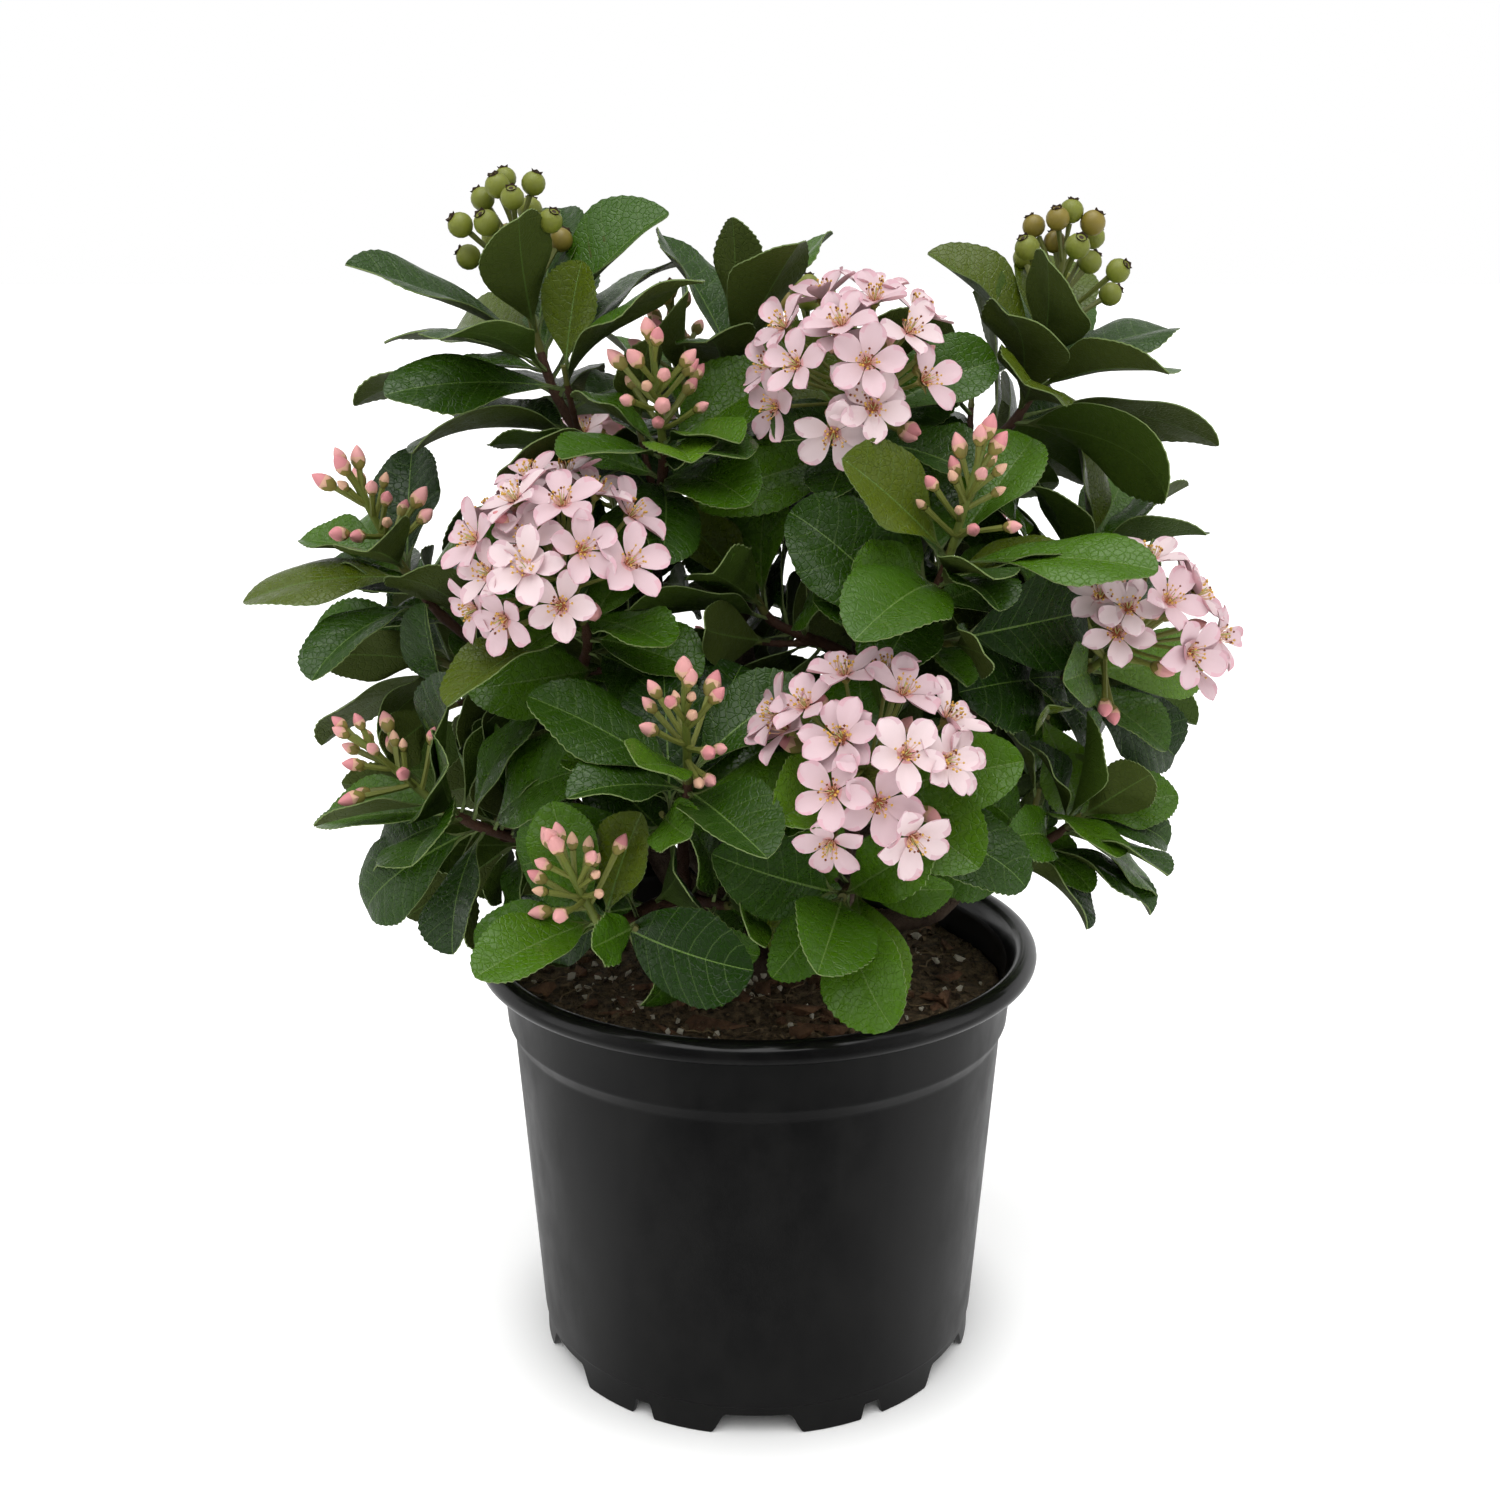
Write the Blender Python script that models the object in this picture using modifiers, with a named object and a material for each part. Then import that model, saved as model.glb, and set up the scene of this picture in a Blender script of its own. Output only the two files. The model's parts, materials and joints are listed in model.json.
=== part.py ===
"""Potted Indian hawthorn: an evergreen shrub in bud, flower and young fruit, in a black nursery pot.

Metres, +Z up. The origin is on the floor at the centre of the pot's foot, and the front is -Y.
The pot and its soil carry a short trunk, which forks into boughs. Each bough ends where the shoots that
it carries begin. A shoot is one stem with a whorl of leaves below its crown, side twigs with smaller
whorls, and at its crown flowers, buds, berries or nothing. Each shoot is one solid that stays clear of
all the others.
"""

import math
import random
from collections import namedtuple

import bmesh
import bpy
from mathutils import Matrix, Vector
from mathutils.bvhtree import BVHTree

MM = 0.001
GAP = 0.3 * MM  # between solids that would touch
FLAT = math.radians(0.05)  # faces that meet at less than this are one face
SHORT_EDGES = (0.12 * MM, 0.05 * MM, 0.01 * MM, 0.001 * MM)  # closed up where that can be done

# The pot
POT_HEIGHT = 126.5 * MM
LIP_RADIUS = 82.5 * MM  # outside of the rolled lip
LIP_ROLL = 3.4 * MM  # radius of the roll itself
NECK_TOP_RADIUS = 75.6 * MM
NECK_FOOT_RADIUS = 74.4 * MM
NECK_FOOT_HEIGHT = 103.5 * MM
WALL_TOP_RADIUS = 72.6 * MM
WALL_TOP_HEIGHT = 100.0 * MM
WALL_FOOT_RADIUS = 66.2 * MM
FOOT_RADIUS = 65.5 * MM
FOOT_RING_HEIGHT = 9.2 * MM
POT_WALL = 1.8 * MM
FLOOR_HEIGHT = 7.2 * MM  # underside of the floor above the feet
POT_STEPS = 32
NOTCH_COUNT = 6
WIDE_NOTCH = (13.4 * MM, 9.0 * MM, 6.1 * MM)  # half width at the floor, half width at its top, height
SMALL_NOTCH = (3.8 * MM, 2.2 * MM, 4.6 * MM)
DRAIN_RADIUS = 4.5 * MM
DRAIN_REACH = 50.0 * MM
DRAIN_SIDES = 8

# The soil
SOIL_EDGE_HEIGHT = 112.5 * MM
SOIL_MIDDLE_HEIGHT = 115.5 * MM

# The trunk: height above the soil, sideways drift and radius at each stage
TRUNK_STAGES = (
    (0.0, 0.0, 11.5),
    (3.0, 0.0, 9.2),
    (9.0, 0.4, 8.0),
    (24.0, 1.6, 7.2),
    (40.0, 3.0, 6.2),
    (47.0, 3.7, 4.4),
)
TRUNK_LEAN_BEARING = 35.0
TRUNK_SIDES = 10

# Boughs: the level where each leaves the trunk, and its tip as bearing, reach and height. Bearings are
# degrees anticlockwise from +X, seen from above.
Bough = namedtuple("Bough", "name level bearing reach height")
BOUGHS = (
    Bough("bough_front", 10, -60, 50, 158),
    Bough("bough_low_right", 11, -8, 62, 146),
    Bough("bough_low_left", 10, -158, 56, 157),
    Bough("bough_low_back", 11, 80, 52, 150),
    Bough("bough_front_left", 22, -112, 52, 154),
    Bough("bough_right", 23, -34, 38, 208),
    Bough("bough_left", 24, -172, 54, 196),
    Bough("bough_back_right", 22, 42, 56, 190),
    Bough("bough_back_left", 23, 128, 58, 196),
    Bough("bough_far_right", 30, 4, 62, 194),
    Bough("bough_top_left", 38, 178, 30, 244),
    Bough("bough_top_right", 39, 22, 34, 242),
    Bough("bough_back", 38, 98, 34, 232),
)
BOUGH_BASE_RADIUS = 3.4 * MM
BOUGH_TIP_RADIUS = 2.5 * MM
BOUGH_STAGES = 5
BOUGH_WOBBLE = 0.05  # of its length

# Shoots: the bough that carries each, its crop, the place of its crown, the way it points (bearing, and
# lean from upright), the leaves of its whorl, their length, the turn of the first leaf and its side
# twigs.
Shoot = namedtuple("Shoot", "name bough crop bearing reach height toward lean leaves length turn twigs")
SHOOTS = (
    Shoot("berries_left", "bough_top_left", "berries", 175, 62, 301, -150, 10, 10, 62, 200, 1),
    Shoot("berries_right", "bough_top_right", "berries", 11, 83, 292, -30, 8, 10, 60, 20, 1),
    Shoot("berries_back", "bough_back", "berries", 78, 71, 272, 80, 12, 9, 52, 70, 1),
    Shoot("blossom_left", "bough_left", "blossom", -139, 62, 231, -116, 36, 8, 52, 10, 1),
    Shoot("blossom_top", "bough_top_right", "blossom", -23, 29, 278, -95, 48, 8, 52, 60, 1),
    Shoot("blossom_right", "bough_far_right", "blossom", -10, 95, 211, -56, 52, 8, 50, 250, 1),
    Shoot("blossom_front", "bough_front", "blossom", -67, 73, 191, -101, 56, 8, 52, 40, 1),
    Shoot("blossom_back_left", "bough_back_left", "blossom", 122, 82, 236, 118, 38, 8, 54, 0, 1),
    Shoot("blossom_back_right", "bough_back_right", "blossom", 52, 86, 212, 60, 44, 8, 52, 90, 1),
    Shoot("buds_far_left", "bough_left", "buds", -171, 100, 241, -138, 28, 9, 46, 30, 1),
    Shoot("buds_top", "bough_top_left", "buds", -138, 34, 274, -98, 26, 8, 48, 140, 1),
    Shoot("buds_right", "bough_right", "buds", -39, 65, 248, -50, 20, 8, 58, 330, 1),
    Shoot("buds_middle", "bough_front_left", "buds", -103, 77, 198, -90, 30, 8, 50, 60, 1),
    Shoot("buds_low_left", "bough_low_left", "buds", -153, 97, 180, -168, 46, 8, 50, 110, 1),
    Shoot("buds_front", "bough_front_left", "buds", -118, 88, 160, -114, 36, 8, 48, 300, 1),
    Shoot("buds_back_top", "bough_back", "buds", 122, 42, 280, 112, 16, 8, 50, 45, 1),
    Shoot("buds_back_low", "bough_low_back", "buds", 98, 72, 182, 95, 40, 8, 50, 15, 1),
    Shoot("buds_back_right", "bough_back_right", "buds", 24, 112, 190, 21, 46, 8, 50, 75, 1),
    Shoot("leaves_low_right", "bough_low_right", "leaves", -15, 94, 170, -12, 46, 9, 40, 0, 1),
    Shoot("leaves_front", "bough_front", "leaves", -74, 78, 164, -84, 70, 7, 52, 80, 0),
    Shoot("leaves_far_right", "bough_far_right", "leaves", 7, 98, 238, 0, 24, 9, 45, 120, 1),
    Shoot("leaves_top", "bough_top_left", "leaves", 108, 20, 298, 60, 6, 8, 52, 150, 1),
    Shoot("leaves_middle", "bough_right", "leaves", -92, 14, 230, -95, 30, 9, 56, 15, 1),
    Shoot("leaves_left", "bough_left", "leaves", 176, 94, 208, 180, 58, 8, 50, 45, 1),
    Shoot("leaves_low_left", "bough_low_left", "leaves", -179, 80, 156, -176, 66, 7, 46, 20, 1),
    Shoot("leaves_low_front", "bough_front_left", "leaves", -96, 64, 158, -86, 60, 6, 48, 60, 0),
    Shoot("leaves_low_back", "bough_low_back", "leaves", 66, 80, 158, 60, 74, 7, 48, 30, 1),
    Shoot("leaves_back_left", "bough_back_left", "leaves", 152, 98, 204, 155, 52, 9, 50, 200, 1),
    Shoot("leaves_back_low_left", "bough_low_left", "leaves", 148, 84, 168, 148, 62, 8, 48, 100, 1),
    Shoot("leaves_back_right", "bough_back", "leaves", 36, 70, 248, 35, 32, 8, 52, 240, 1),
    Shoot("leaves_low_side", "bough_low_right", "leaves", 20, 86, 162, 25, 60, 7, 44, 10, 1),
)

STEM_RADIUS = 1.6 * MM
STEM_TIP_RADIUS = 1.2 * MM
STEM_STAGES = 4
STEM_SPREAD = 2.3 * MM  # of stem feet round a bough's tip
TWIG_RADIUS = 1.0 * MM
TWIG_LEAVES = 3
TWIG_LEAF_SHARE = 0.8  # of the whorl's leaf length
GOLDEN_ANGLE = math.radians(137.5)

# Leaves: (share of the length, share of the width, depth of the keel) between the pointed root and tip
LEAF_OUTLINE = ((0.40, 0.80, 1.8 * MM), (0.76, 0.98, 1.1 * MM))
LEAF_WIDTH = 0.53  # of its length
LEAF_BROAD = 49.0 * MM  # longer leaves are no broader
LEAF_BLADE_FROM = 0.12  # nearer the root than this, leaves of one shoot may meet
WHORL_DEPTH = 21.0 * MM
LEAST_OPENING = {"berries": 34.0, "blossom": 50.0, "buds": 44.0, "leaves": 14.0}
MOST_OPENING = (60.0, 90.0)  # on an upright shoot, and on one that lies level
LOWEST_TIPS = ((50 * MM, 119 * MM), (80 * MM, 131 * MM))  # (reach, height) from the trunk to past the lip
LEAF_LIFT = 0.45  # how much a leaf that would hang turns up
# Where no leaf hangs in front of the soil and the lip, seen from a little above the front: how far across
# and how far up, in millimetres
CLEARINGS = (((-90, 90), (0, 104)), ((42, 72), (100, 134)), ((-3, 15), (100, 118)), ((-46, -28), (100, 116)))
VIEW_TILT = math.radians(15)
LEAF_TRIES = 9

# Crops
FLOWER_RADIUS = 10.9 * MM
FLOWER_NOTCH = 0.66  # of its radius, between two petals
FLOWER_BOWL = 0.25  # of its radius, the rise of its rim
FLOWER_COUNT = 7
FLOWER_PLACES = 16  # tried for them
FLOWER_STALK = 13.0 * MM  # from the crown to the middle of the dome's base
FLOWER_DOME = 25.0 * MM  # from there to each flower
FLOWER_CONE = 66.0  # degrees that the outermost flower leans out
BLOSSOM_BUDS = 3
BUD_COUNT = 8
BUD_LENGTH = 6.3 * MM
BUD_RADIUS = 2.1 * MM
PANICLE_LENGTH = 37.0 * MM
BERRY_COUNT = 9
BERRY_RADIUS = 3.6 * MM
BERRY_LENGTH = 43.0 * MM
PEDICEL_RADIUS = 0.55 * MM
SUNK = 0.3  # how far out from the middle of its stalk, as a share of the radius, a pedicel takes root
LEAF_SUNK = 0.1  # how far beyond the middle of its stem, as a share of the radius, a leaf's root reaches

BLACK_PLASTIC = ((0.012, 0.012, 0.013), 0.38)
POTTING_MIX = ((0.040, 0.024, 0.014), 0.95)
BARK = ((0.110, 0.052, 0.030), 0.80)
FOLIAGE = ((0.032, 0.105, 0.022), 0.35)


def polar(bearing, reach, height):
    """A point in metres from a bearing in degrees, and a reach and height in millimetres."""
    turn = math.radians(bearing)
    return Vector((math.cos(turn) * reach, math.sin(turn) * reach, height)) * MM


def heading(bearing, lean):
    """The unit vector that leans by this many degrees from upright, towards a bearing."""
    turn, tilt = math.radians(bearing), math.radians(lean)
    return Vector((math.cos(turn) * math.sin(tilt), math.sin(turn) * math.sin(tilt), math.cos(tilt)))


def mix(low, high, share):
    return low + (high - low) * share


def bezier(start, pull_start, pull_end, end, count):
    """count + 1 points along a cubic curve."""
    points = []
    for step in range(count + 1):
        t = step / count
        s = 1 - t
        points.append(start * s**3 + pull_start * 3 * s * s * t + pull_end * 3 * s * t * t + end * t**3)
    return points


def across(axis):
    """Two unit vectors square to the axis and to each other."""
    helper = Vector((0, 0, 1)) if abs(axis.z) < 0.9 else Vector((1, 0, 0))
    first = axis.cross(helper).normalized()
    return first, axis.cross(first)


def leaning(axis, opening, azimuth):
    """The unit vector that opens from the axis by this angle, towards this azimuth round it."""
    first, second = across(axis)
    out = first * math.cos(azimuth) + second * math.sin(azimuth)
    return axis * math.cos(opening) + out * math.sin(opening)


# Shapes are (points, faces). They are lofts between unlike sections, with their faces pointing out.


def fans(faces):
    """The faces as triangles, so that each is flat."""
    return [(face[0], face[i], face[i + 1]) for face in faces for i in range(1, len(face) - 1)]


def loft(rings, tip=None, root=None):
    """A closed skin over rings of equally many points. Each end is capped, or closed to a point."""
    sides = len(rings[0])
    points = [point for ring in rings for point in ring]
    if root is None:
        faces = [tuple(range(sides))[::-1]]
    else:
        points.append(root)
        faces = [((side + 1) % sides, side, len(points) - 1) for side in range(sides)]
    for row in range(len(rings) - 1):
        for side in range(sides):
            a, b = row * sides + side, row * sides + (side + 1) % sides
            faces.append((a, b, b + sides, a + sides))
    last = (len(rings) - 1) * sides
    if tip is None:
        faces.append(tuple(last + side for side in range(sides)))
    else:
        points.append(tip)
        faces += [(last + side, last + (side + 1) % sides, len(points) - 1) for side in range(sides)]
    return points, fans(faces)


def ring_round(centre, axis, radius, sides):
    first, second = across(axis)
    turns = [2 * math.pi * side / sides for side in range(sides)]
    return [centre + (first * math.cos(t) + second * math.sin(t)) * radius for t in turns]


def tube(points, radii, sides=3):
    """A tube along the points. Its rings stand square to the run of the line."""
    rings = []
    for i, point in enumerate(points):
        run = points[min(i + 1, len(points) - 1)] - points[max(i - 1, 0)]
        rings.append(ring_round(point, run.normalized(), radii[i], sides))
    return loft(rings)


def spun(root, axis, profile, tip_at, sides):
    """A closed shape round an axis: profile is (distance along, radius), and it ends in a point."""
    rings = [ring_round(root + axis * along, axis, radius, sides) for along, radius in profile]
    return loft(rings, root + axis * tip_at)


Leaf = namedtuple("Leaf", "root heading up length width arch")


def leaf_frame(leaf, share):
    """The point, the upward and the sideways direction at a share of the leaf's length, arching back."""
    side = leaf.heading.cross(leaf.up)
    turn = leaf.arch * share
    along = math.sin(turn) / leaf.arch
    drop = (1 - math.cos(turn)) / leaf.arch
    point = leaf.root + (leaf.heading * along - leaf.up * drop) * leaf.length
    return point, leaf.heading * math.sin(turn) + leaf.up * math.cos(turn), side


def leaf_shape(leaf, margin=0.0):
    """A blade with a flat top and a keel under its midrib, grown by a margin."""
    rings = []
    for share, width, keel in LEAF_OUTLINE:
        point, up, side = leaf_frame(leaf, share)
        half = side * (leaf.width * width / 2 + margin)
        rings.append([point + half + up * margin, point - up * (keel + margin), point - half + up * margin])
    return loft(rings, leaf_frame(leaf, 1.0 + margin / leaf.length)[0], leaf.root)


def blade_room(leaf):
    """The room that a leaf's blade takes up beyond its narrow foot."""
    rings = []
    for share, width, keel in ((LEAF_BLADE_FROM, LEAF_BLADE_FROM * 2, 0.5 * MM), *LEAF_OUTLINE):
        point, up, side = leaf_frame(leaf, share)
        half = side * (leaf.width * width / 2 + GAP)
        rings.append([point + half + up * GAP, point - up * (keel + GAP), point - half + up * GAP])
    return loft(rings, leaf_frame(leaf, 1.0 + GAP / leaf.length)[0])


def flower_shape(root, centre, axis, spin, radius):
    """Five petals in a shallow bowl, as a star with a ten-sided rim, on a pedicel from the root."""
    run = (centre - root).normalized()
    first, second = across(axis)
    points = ring_round(root, run, PEDICEL_RADIUS, 5)
    rim = []
    for number in range(10):
        turn = spin + math.radians(36 * number)
        reach = FLOWER_NOTCH if number % 2 else 1.0
        out = first * math.cos(turn) + second * math.sin(turn)
        rim.append(centre + out * radius * reach + axis * radius * FLOWER_BOWL * reach)
        if number % 2:
            points.append(centre + out * 1.4 * MM - axis * 1.5 * MM)
    points += rim + [centre + axis * 0.5 * MM]
    faces = [(4, 3, 2, 1, 0)]
    nearest = min(range(5), key=lambda side: (points[side] - points[5]).length)
    for side in range(5):
        a, b = (side + nearest) % 5, (side + nearest + 1) % 5
        under, beyond = 5 + side, 5 + (side + 1) % 5
        notch, petal, last = 11 + 2 * side, 10 + (2 * side + 2) % 10, 10 + (2 * side + 3) % 10
        faces += [(a, b, beyond, under), (under, petal, notch)]
        faces += [(under, beyond, petal), (beyond, last, petal)]
        faces += [(notch, petal, 20), (petal, last, 20)]
    return points, fans(faces)


def flower_room(centre, axis, radius):
    """The room that a flower's head takes up."""
    reach = (radius + GAP) / math.cos(math.pi / 8)
    under = ring_round(centre - axis * (1.5 * MM + GAP), axis, reach * 0.25, 8)
    return loft([under, ring_round(centre + axis * radius * FLOWER_BOWL, axis, reach, 8)])


def bud_shape(root, axis, pedicel, size, margin=0.0):
    """A pointed bud on its pedicel."""
    profile = (
        (0.0, PEDICEL_RADIUS + margin),
        (pedicel, PEDICEL_RADIUS * 1.3 + margin),
        (pedicel + BUD_LENGTH * size * 0.45, BUD_RADIUS * size + margin),
    )
    return spun(root, axis, profile, pedicel + BUD_LENGTH * size + margin, 3)


def berry_shape(root, axis, pedicel, margin=0.0):
    """A round berry on its pedicel."""
    profile = (
        (0.0, PEDICEL_RADIUS + margin),
        (pedicel, PEDICEL_RADIUS * 1.3 + margin),
        (pedicel + BERRY_RADIUS * 0.55, BERRY_RADIUS * 0.92 + margin),
        (pedicel + BERRY_RADIUS * 1.5, BERRY_RADIUS * 0.86 + margin),
    )
    return spun(root, axis, profile, pedicel + BERRY_RADIUS * 2.0 + margin, 4)


class Crowd:
    """Every piece placed so far, and the test that keeps a new piece out of the others' way."""

    def __init__(self):
        self.pieces = []

    def add(self, owner, kind, shape):
        points, faces = shape
        centre = sum(points, Vector()) / len(points)
        radius = max((point - centre).length for point in points)
        self.pieces.append((owner, kind, centre, radius, BVHTree.FromPolygons(points, faces)))

    def touches(self, owner, shape, spare=()):
        """Whether the shape meets a piece. Pieces of its own shoot and of the spare kinds don't count."""
        points, faces = shape
        centre = sum(points, Vector()) / len(points)
        radius = max((point - centre).length for point in points)
        tree = BVHTree.FromPolygons(points, faces)
        for whose, kind, where, size, other in self.pieces:
            if whose == owner and kind in spare:
                continue
            if (where - centre).length < radius + size and tree.overlap(other):
                return True
        return False


# Limbs


def trunk_point(level):
    """The trunk's axis and radius at a level in millimetres above the soil."""
    lean = polar(TRUNK_LEAN_BEARING, 1, 0)
    foot = Vector((0, 0, SOIL_MIDDLE_HEIGHT + GAP))
    for low, high in zip(TRUNK_STAGES, TRUNK_STAGES[1:]):
        if level <= high[0]:
            share = (level - low[0]) / (high[0] - low[0])
            point = foot + lean * mix(low[1], high[1], share) + Vector((0, 0, level * MM))
            return point, mix(low[2], high[2], share) * MM
    raise ValueError("the level lies above the trunk")


def bough_path(bough):
    """The bough's line from just clear of the trunk, out and then up to its tip."""
    axis, radius = trunk_point(bough.level)
    tip = polar(bough.bearing, bough.reach, bough.height)
    out = (tip - axis) * Vector((1, 1, 0))
    out.normalize()
    start = axis + out * (radius + GAP * 2)
    elbow = start + out * BOUGH_BASE_RADIUS
    span = (tip - elbow).length
    climb = (tip - elbow).normalized()
    arrive = (climb + Vector((0, 0, 0.9)) - out * 0.25).normalized()
    path = bezier(elbow, elbow + out * span * 0.22, tip - arrive * span * 0.4, tip, BOUGH_STAGES - 1)
    rng = random.Random(bough.name)
    for i in range(1, BOUGH_STAGES - 2):
        path[i] += Vector([rng.uniform(-1, 1) for _ in range(3)]) * span * BOUGH_WOBBLE
    return [start] + path


def stem_feet(shoots, tip, run):
    """The turn of each shoot's foot round its bough's tip: evenly spaced, and facing their crowns."""
    first, second = across(run)
    facing = {}
    for shoot in shoots:
        away = polar(shoot.bearing, shoot.reach, shoot.height) - tip
        facing[shoot.name] = math.atan2(away.dot(second), away.dot(first))
    order = sorted(facing, key=facing.get)
    step = 2 * math.pi / len(order)
    drift = [facing[name] - place * step for place, name in enumerate(order)]
    base = math.atan2(sum(map(math.sin, drift)), sum(map(math.cos, drift)))
    return {name: base + place * step for place, name in enumerate(order)}


def stem_path(shoot, tip, run, foot):
    """The shoot's stem, from beside its bough's tip to its crown."""
    crown = polar(shoot.bearing, shoot.reach, shoot.height)
    axis = heading(shoot.toward, shoot.lean)
    first, second = across(run)
    aside = first * math.cos(foot) + second * math.sin(foot)
    start = tip + run * (GAP + STEM_RADIUS * 0.7) + aside * STEM_SPREAD
    span = (crown - start).length
    leave = (run * 1.2 + aside * 0.5 + (crown - start) / span * 0.4).normalized()
    return bezier(start, start + leave * span * 0.3, crown - axis * span * 0.4, crown, STEM_STAGES), axis


def point_on(path, back):
    """The point this far back from the end of the line, and the run of the line there."""
    for i in range(len(path) - 1, 0, -1):
        run = path[i] - path[i - 1]
        if back <= run.length or i == 1:
            return path[i] - run.normalized() * min(back, run.length * 0.97), run.normalized()
        back -= run.length
    raise ValueError("a line has at least two points")


# Crops: each function yields (kind, shape for the solid, shape for the test)


def rooted(root, out, radius):
    """The place where a piece that grows outwards takes root, beside the middle of its stem."""
    return root + out * radius * SUNK


def main_stalk(start, end):
    return "crop", tube([start, end], [STEM_TIP_RADIUS] * 2), None


def blossom(crown, axis, rng):
    """Flowers on a dome round the crown, facing out, with a few buds below its edge."""
    middle = crown + axis * FLOWER_STALK
    yield main_stalk(crown - axis * 2 * MM, middle + axis * FLOWER_DOME * 0.34)
    for i in range(FLOWER_PLACES):
        share = math.sqrt((i + 0.3) / FLOWER_PLACES)
        azimuth = i * GOLDEN_ANGLE + rng.uniform(-0.2, 0.2)
        out = leaning(axis, math.radians(FLOWER_CONE) * share, azimuth)
        centre = middle + out * FLOWER_DOME * rng.uniform(0.94, 1.12)
        root = rooted(middle + axis * FLOWER_DOME * mix(0.3, -0.3, share), out, STEM_TIP_RADIUS)
        face = (out * 2.2 + axis * 0.5 + Vector((0, 0, 0.15))).normalized()
        size = FLOWER_RADIUS * rng.uniform(0.9, 1.05)
        shape = flower_shape(root, centre, face, rng.uniform(0, 2), size)
        yield "flower", shape, flower_room(centre, face, size)
    for _ in range(BLOSSOM_BUDS):
        out = leaning(axis, math.radians(rng.uniform(62, 80)), rng.uniform(0, 2 * math.pi))
        root = rooted(middle - axis * FLOWER_DOME * 0.34, out, STEM_TIP_RADIUS)
        pedicel, size = rng.uniform(15, 20) * MM, rng.uniform(0.85, 1.1)
        yield "bud", bud_shape(root, out, pedicel, size), bud_shape(root, out, pedicel, size, GAP)


def buds(crown, axis, rng):
    """A cone of buds, the lower ones leaning further out, round one at the top."""
    yield main_stalk(crown - axis * 2 * MM, crown + axis * PANICLE_LENGTH * 0.74)
    for i in range(BUD_COUNT):
        share = i / (BUD_COUNT - 1)
        opening = math.radians(mix(4, 58, share**0.8) + rng.uniform(-5, 5))
        out = leaning(axis, opening, i * GOLDEN_ANGLE + rng.uniform(-0.25, 0.25))
        root = rooted(crown + axis * PANICLE_LENGTH * mix(0.7, 0.12, share), out, STEM_TIP_RADIUS)
        pedicel = PANICLE_LENGTH * mix(0.1, 0.4, share) * rng.uniform(0.85, 1.1)
        size = rng.uniform(0.72, 1.08)
        yield "bud", bud_shape(root, out, pedicel, size), bud_shape(root, out, pedicel, size, GAP)


def berries(crown, axis, rng):
    """A spray of berries on stalks that fork off one after another."""
    yield main_stalk(crown - axis * 2 * MM, crown + axis * BERRY_LENGTH * 0.72)
    for i in range(BERRY_COUNT):
        share = i / (BERRY_COUNT - 1)
        opening = math.radians(mix(6, 50, share**0.6) + rng.uniform(-5, 5))
        out = leaning(axis, opening, i * GOLDEN_ANGLE + rng.uniform(-0.3, 0.3))
        root = rooted(crown + axis * BERRY_LENGTH * mix(0.68, 0.22, share), out, STEM_TIP_RADIUS)
        pedicel = BERRY_LENGTH * mix(0.18, 0.5, share) * rng.uniform(0.85, 1.1)
        yield "berry", berry_shape(root, out, pedicel), berry_shape(root, out, pedicel, GAP)


CROPS = {"blossom": blossom, "buds": buds, "berries": berries, "leaves": lambda crown, axis, rng: ()}


def whorl_leaf(path, index, count, length, turn, least, most, depth, rng, attempt):
    """One leaf of a whorl. The innermost stand up and are small; the lowest lie open and are larger."""
    share = index / max(count - 1, 1)
    middle, run = point_on(path, 1.2 * MM + depth * share**1.2)
    swing = math.radians((attempt + 1) // 2 * 13 * (1 if attempt % 2 else -1))
    azimuth = math.radians(turn) + index * GOLDEN_ANGLE + rng.uniform(-0.15, 0.15) + swing
    opening = math.radians(mix(least, most, share**0.7) + rng.uniform(-7, 7))
    out = leaning(run, opening, azimuth)
    out = (out + Vector((0, 0, LEAF_LIFT * max(0.0, 0.3 - out.z)))).normalized()
    side = run.cross(out).normalized()
    up = side.cross(out).normalized()
    if up.dot(run) < 0:
        up.negate()
    roll = rng.uniform(-0.35, 0.35)
    up = (up * math.cos(roll) + side * math.sin(roll)).normalized()
    size = length * MM * mix(0.7, 1.0, min(1, share * 1.8)) * rng.uniform(0.92, 1.14) * 0.96**attempt
    width = min(size, LEAF_BROAD) * LEAF_WIDTH * rng.uniform(0.8, 1.08)
    arch = mix(0.25, 0.8, share) + rng.uniform(-0.15, 0.25)
    aside = (out - run * out.dot(run)).normalized()
    return Leaf(middle - aside * STEM_TIP_RADIUS * LEAF_SUNK, out, up, size, width, arch)


def lowest_tip(reach):
    """The least height of a leaf's tip at a distance from the pot's axis."""
    (near, low), (far, high) = LOWEST_TIPS
    return mix(low, high, min(1.0, max(0.0, (reach - near) / (far - near))))


def hides_soil(leaf):
    """Whether the leaf hangs in a clearing."""
    for share, edge in ((0.5, -0.4), (0.5, 0.4), (0.75, -0.4), (0.75, 0.4), (1.0, 0.0)):
        middle, _, side = leaf_frame(leaf, share)
        spot = (middle + side * leaf.width * edge) / MM
        rise = spot.z * math.cos(VIEW_TILT) + spot.y * math.sin(VIEW_TILT)
        for (left, right), (low, high) in CLEARINGS:
            if spot.y < 0 and left < spot.x < right and low < rise < high:
                return True
    return False


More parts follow.
